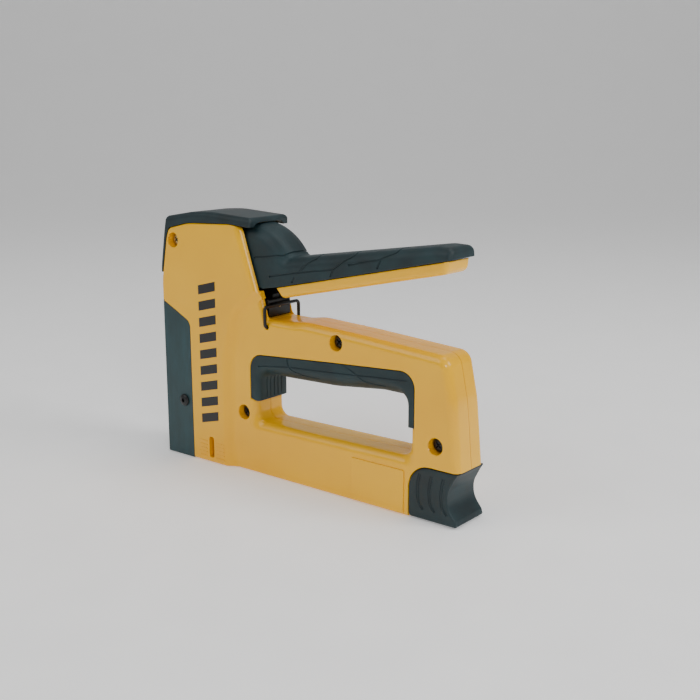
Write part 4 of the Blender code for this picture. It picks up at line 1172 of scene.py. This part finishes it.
# %% [markdown]
# The handle under the grip is a plain painted bar with a slot for the arm. The two rivets end
# inside it, in blind holes, so that nothing shows on its sides.

# %% Handle
RIVET_HOLE = 1.1


def pin_hole(node, radius):
    """Hole across the tool round a CAD pin, a clearance longer than the pin."""
    x, _, z = middle(node)
    low, high = spans(node)[1]
    return rod(radius, x, z, low - GAP, high + GAP, 24)


def handle_outline():
    """Side view of the painted bar under the grip."""
    front = PIVOT_X + SEAM_BACK
    low = front + 4.5
    tip = LEVER_TIP - 2.8
    return [(low, seam_z(low) - HANDLE_THICK, 1.0), (tip - 0.6, seam_z(tip) - HANDLE_THICK, 3.5),
            (tip, seam_z(tip), 0.3), (front, seam_z(front), 0.3)]


def lever_handle():
    bar = rounded(handle_outline(), [2.6, 2.4, 0.4, 1.0], HANDLE_HALF)
    return combined(bar, cut=[arm_way()] + [pin_hole(name, RIVET_HOLE) for name in
                                            ("arm_rivet_front", "arm_rivet_rear")])


finish("painted_handle", lever_handle(), "enamel", "lever", ["lever_handle"])

# %% [markdown]
# ## The magazine knob
# The knob fills the rear lower corner of the body and carries the magazine's rail. Its back
# is dished for the thumb, and three curved grooves on each side help the fingers to pull.

# %% Knob
KNOB_HALF = KNOB[1][1]
KNOB_TOP = KNOB[2][1]
KNOB_GROOVE = 1.05
GROOVE_LIFT = 0.45   # the groove's wire lies this far outside the surface


def knob_outline():
    """Side view of the knob, dished at the back."""
    return [
        (KNOB_FRONT, 0.4, 1.8),
        (LENGTH, 0.4, 0.8),
        (LENGTH - 0.9, 3.4, 3.0),
        (LENGTH - 5.3, 9.0, 9.0),
        (LENGTH - 5.6, 16.0, 9.0),
        (LENGTH - 2.0, 23.0, 8.0),
        (LENGTH - 0.2, KNOB_TOP, 0.6),
        (KNOB_FRONT, KNOB_TOP, KNOB_RADIUS),
    ]


def knob_grooves(work):
    """Curved finger grooves, each with a short foot towards the back."""
    guides = []
    for side in (-1, 1):
        for start in (0.0, 6.6, 13.2):
            front = KNOB_FRONT + 5.6 + start
            line = [(front + 0.9, 22.4), (front - 0.2, 18.4), (front - 0.5, 14.0), (front - 0.1, 9.6),
                    (front + 1.4, 6.4), (front + 3.0, 5.6)]
            guides.append([at(x, side * KNOB_HALF, z) for x, z in line])
    tree = BVHTree.FromBMesh(work)
    tools = []
    for guide in guides:
        laid = on_surface(tree, guide)
        lifted = [point + Vector((0.0, math.copysign(GROOVE_LIFT * MM, point.y), 0.0)) for point in laid]
        tools.append(tube(lifted, KNOB_GROOVE))
    return tools


def magazine_knob():
    """Knob, grooved on its sides and slotted for the rail and its pin."""
    knob = rounded(knob_outline(), [0.9, 0.8, 0.8, 0.8, 0.8, 0.8, 1.0, 1.0], KNOB_HALF)
    rail_x, rail_y, rail_z = spans("magazine_rail")
    slot = box((KNOB_FRONT - 5, rail_x[1] + GAP), (rail_y[0] - GAP, rail_y[1] + GAP),
               (rail_z[0] - GAP, rail_z[1] + GAP))
    pin_z = spans("knob_pin")[2]
    pin = pin_hole("knob_pin", (pin_z[1] - pin_z[0]) / 2 + 0.1)
    return combined(knob, cut=knob_grooves(knob) + [slot, pin])


finish("pull_knob", magazine_knob(), "nylon", "magazine", ["magazine_knob"])

# %% [markdown]
# ## The wire lock and the bracket
# The wire is bent round with its feet in the sides of the body. Its corners are arcs, made by
# a vertex bevel on the path before the wire is drawn round it.

# %% Wire lock
def bent_path(points, radius):
    """Path whose inner corners are rounded by a vertex bevel, read from one end to the other."""
    work = bmesh.new()
    verts = [work.verts.new(point) for point in points]
    for pair in zip(verts, verts[1:]):
        work.edges.new(pair)
    first = verts[0]
    blunt(work, verts[1:-1], radius, 6, 'VERTICES')
    path, edge, here = [first.co.copy()], None, first
    while True:
        onward = [e for e in here.link_edges if e is not edge]
        if not onward:
            break
        edge = onward[0]
        here = edge.other_vert(here)
        path.append(here.co.copy())
    work.free()
    return path


def wire_lock():
    """Wire bent into a loop, with its feet turned in through the body's sides."""
    x, _, _ = middle("lock_bail")
    half = BAIL[1][1] - BAIL_WIRE
    low = BAIL[2][0] + BAIL_WIRE
    high = BAIL[2][1] - BAIL_WIRE
    foot = BODY_HALF - WALL + 0.6
    corners = [(-foot, low), (-half, low), (-half, high), (half, high), (half, low), (foot, low)]
    return tube(bent_path([at(x, y, z) for y, z in corners], 1.9), BAIL_WIRE, sides=4)


finish("wire_lock", wire_lock(), "black_steel", "bail", ["lock_bail"])

# %% [markdown]
# ## Steel parts whose shape is already right
# The bracket, arm, plunger, rail and other pressed parts only need their sharp edges broken,
# as tumbling does, so that they catch the light. A copy of each is merged from the model's
# loose triangles, its flat faces are made whole again, and its edges are bevelled.

# %% Pressed and ground parts
EDGE_BREAK = 0.2


def softened(node, width=EDGE_BREAK):
    """Merged copy of a CAD node with its sharp edges broken."""
    work = bmesh.new()
    work.from_mesh(frame["nodes"][node].data)
    bmesh.ops.remove_doubles(work, verts=work.verts, dist=WELD * MM)
    bmesh.ops.dissolve_limit(work, angle_limit=math.radians(1), verts=work.verts, edges=work.edges)
    return bevelled(work, width, segments=2)


PLAIN = [
    ("pivot_bracket", "black_steel", "body"), ("lever_arm", "black_steel", "lever"),
    ("plunger", "steel", "plunger"), ("driver_blade", "steel", "plunger"),
    ("magazine_channel", "steel", "body"), ("magazine_rail", "steel", "magazine"),
    ("pusher", "zinc", "pusher"), ("spring_seat", "steel", "body"), ("bumper", "urethane", "body"),
]
for node, kind, body in PLAIN:
    finish(node + "_finished", softened(node), kind, body, [node])

RIVET_HEAD = 0.95
bracket = spans("pivot_bracket")
rivet_head = bmesh.new()
bmesh.ops.create_uvsphere(rivet_head, u_segments=20, v_segments=12, radius=RIVET_HEAD * MM)
bmesh.ops.scale(rivet_head, vec=(0.5, 1.0, 1.0), verts=rivet_head.verts)
bmesh.ops.translate(rivet_head, vec=at(bracket[0][1], 0.0, bracket[2][1] - 3.8), verts=rivet_head.verts)
finish("bracket_rivet_head", rivet_head, "steel", "body")

# %% [markdown]
# Pins and rivets are plain turned pieces, hidden at both ends. Their shape in the model is
# already the real one, so they only get the finish of bright steel.

# %% Pins and rivets
KEPT = ("pivot_pin", "knob_pin", "blade_rivet", "arm_rivet_front", "arm_rivet_rear")
for node in KEPT:
    shown = frame["nodes"][node]
    shown.data.materials.clear()
    shown.data.materials.append(FINISH["steel"])
print("finished CAD nodes:", ", ".join(KEPT))

# %% [markdown]
# Springs are drawn again as smooth helices of the same wire, between the same ends.

# %% Springs
COIL_STEPS = 24


def helix(centre, radius, turns, start, end, axis):
    """Points of a coil about an axis: 'X' or 'Z', or 'Y' across the tool."""
    total = int(turns * COIL_STEPS)
    points = []
    for index in range(total + 1):
        angle = 2 * math.pi * index / COIL_STEPS
        along = start + (end - start) * index / total
        one, two = radius * math.cos(angle), radius * math.sin(angle)
        x, y, z = centre
        points.append({'Z': at(x + one, y + two, along), 'Y': at(x + one, along, z + two),
                       'X': at(along, y + one, z + two)}[axis])
    return points


def coil(node, axis, turns, wire):
    """Coil that fills a CAD spring's box."""
    x, y, z = spans(node)
    ends = {'X': x, 'Y': y, 'Z': z}[axis]
    cross_span = {'X': y, 'Y': x, 'Z': y}[axis]
    radius = (cross_span[1] - cross_span[0]) / 2 - wire
    return tube(helix(middle(node), radius, turns, ends[0] + wire, ends[1] - wire, axis), wire)


SPRINGS = [
    ("power_spring_coil", "power_spring", 'Z', 6, 1.1, "body"),
    ("return_spring_coil", "lever_return_spring", 'Y', 3.5, 0.3, "body"),
    ("pusher_spring_coil", "pusher_spring", 'X', 22, 0.3, "magazine"),
]
for name, node, axis, turns, wire, body in SPRINGS:
    finish(name, coil(node, axis, turns, wire), "steel", body, [node])

# %% [markdown]
# ## Staples
# The strip is many staples glued side by side. Each is a square wire bent over the rail, with
# a slightly rounded back, and a hair's gap shows where one ends and the next begins.

# %% Staple strip
STAPLE_WIRE = 1.25
STAPLE_PITCH = 1.27
STAPLE_GAP = 0.06
STAPLE_ROUND = 0.18


def drawn_out(work, grown, by):
    """Move the vertices that an extrusion has made."""
    moved = [item for item in grown["geom"] if isinstance(item, bmesh.types.BMVert)]
    bmesh.ops.translate(work, vec=by, verts=moved)


def staple_strip():
    """Every staple as its own bent wire, with the edges across its back rounded."""
    x, y, z = spans("staple_strip")
    count = int((x[1] - x[0]) / STAPLE_PITCH)
    work = bmesh.new()
    for index in range(count):
        front = x[0] + index * STAPLE_PITCH
        corners = [(y[0], z[0]), (y[0], z[1]), (y[1], z[1]), (y[1], z[0])]
        inner = [(y[1] - STAPLE_WIRE, z[0]), (y[1] - STAPLE_WIRE, z[1] - STAPLE_WIRE),
                 (y[0] + STAPLE_WIRE, z[1] - STAPLE_WIRE), (y[0] + STAPLE_WIRE, z[0])]
        face = work.faces.new([work.verts.new(at(front, across, up)) for across, up in corners + inner])
        grown = bmesh.ops.extrude_face_region(work, geom=[face])
        drawn_out(work, grown, ((STAPLE_PITCH - STAPLE_GAP) * MM, 0.0, 0.0))
    bmesh.ops.recalc_face_normals(work, faces=work.faces)
    across_back = [edge for edge in work.edges if abs(edge.verts[0].co.x - edge.verts[1].co.x) < 1e-7
                   and all(abs(vert.co.z - z[1] * MM) < 1e-6 for vert in edge.verts)]
    blunt(work, across_back, STAPLE_ROUND, 2, clamp=True)
    return work


finish("staples", staple_strip(), "galvanised", "body", ["staple_strip"])

# %% [markdown]
# ## The printed panel
# The nose carries a large black print along its height. Here it is a plain row of slanted
# bars, each a thin layer of ink on the enamel.

# %% Printed bars
PRINT_X = (28.4, 41.0)
PRINT_Z = (21.2, 100.0)
BARS = 9
INK = 0.05


def printed_bars(side):
    """Row of slanted bars, each a thin slab that stands just off the enamel."""
    pitch = (PRINT_Z[1] - PRINT_Z[0]) / BARS
    width, slant = 0.56 * pitch, 0.36 * pitch
    work = bmesh.new()
    for index in range(BARS):
        low = PRINT_Z[0] + index * pitch
        corners = [(PRINT_X[0], low), (PRINT_X[1], low + slant), (PRINT_X[1], low + slant + width),
                   (PRINT_X[0], low + width)]
        face = work.faces.new([work.verts.new(at(x, side * (NOSE_HALF + 0.01), z)) for x, z in corners])
        drawn_out(work, bmesh.ops.extrude_face_region(work, geom=[face]), (0.0, side * INK * MM, 0.0))
    bmesh.ops.recalc_face_normals(work, faces=work.faces)
    return work


for side, word in ((-1, "left"), (1, "right")):
    finish("printed_bars_" + word, printed_bars(side), "ink", "body")

# %% [markdown]
# ## Floor and light
# A pale paper sweep runs from under the camera past the tool and curves up behind it. It glows
# faintly, as paper does that is lit from behind. Broad soft lights stand over the camera's left
# shoulder, above, and behind on the right, where one draws the long highlights.

# %% Stage
SWEEP_BACK = 1.4
SWEEP_RISE = 0.8
SWEEP_HALF = 3.0
SWEEP_STEPS = 12
PAPER_GLOW = 0.25
SURROUND = 0.15


def stage_material():
    """Paper, which takes its faint glow from the same clouds as its colour."""
    paper = clouded("pale studio paper", [(0.3, "#f6f6f6"), (0.7, "#fafafa")], 30.0, 3.0)
    paper.tree.links.new(paper.shade, paper.shader.inputs["Emission Color"])
    paper.shader.inputs["Emission Strength"].default_value = PAPER_GLOW
    paper.shader.inputs["Roughness"].default_value = 0.9
    return paper.material


def sweep():
    """Paper that lies flat, then curves up behind the tool as the camera sees it."""
    low = cad_low.z - 0.0005
    profile = [(-SWEEP_HALF, low), (SWEEP_BACK, low)]
    for step in range(1, SWEEP_STEPS + 1):
        angle = step / SWEEP_STEPS * math.pi / 2
        profile.append((SWEEP_BACK + SWEEP_RISE * math.sin(angle), low + SWEEP_RISE * (1 - math.cos(angle))))
    profile.append((SWEEP_BACK + SWEEP_RISE, low + 3.0))
    work = bmesh.new()
    verts = [work.verts.new((along, -SWEEP_HALF, z)) for along, z in profile]
    edges = [work.edges.new(pair) for pair in zip(verts, verts[1:])]
    drawn_out(work, bmesh.ops.extrude_edge_only(work, edges=edges), (0.0, 2 * SWEEP_HALF, 0.0))
    away = LOOK_AT - EYE
    turning = Matrix.Rotation(math.atan2(away.y, away.x), 3, 'Z')
    bmesh.ops.rotate(work, cent=(0.0, 0.0, 0.0), matrix=turning, verts=work.verts)
    return work


paper = new_object("paper_sweep", sweep())
paper.data.shade_smooth()
paper.data.materials.append(stage_material())

world = bpy.data.worlds.new("studio")
bpy.context.scene.world = world
world.use_nodes = True
surround = world.node_tree.nodes["Background"]
surround.inputs["Color"].default_value = (1.0, 1.0, 1.0, 1.0)
surround.inputs["Strength"].default_value = SURROUND


def soft_light(name, place, size, power):
    """Square area light turned towards the tool."""
    data = bpy.data.lights.new(name, 'AREA')
    data.size = size
    data.energy = power
    lamp = bpy.data.objects.new(name, data)
    lamp.location = place
    lamp.rotation_euler = (LOOK_AT - Vector(place)).to_track_quat("-Z", "Y").to_euler()
    bpy.context.scene.collection.objects.link(lamp)


soft_light("key", (-0.5, -0.9, 0.9), 0.9, 5.5)
soft_light("rear", (0.9, 0.25, 0.7), 0.5, 5.0)
soft_light("top", (0.1, 0.1, 1.1), 0.6, 3.5)
soft_light("edge", (0.85, -0.62, 0.5), 0.25, 2.5)
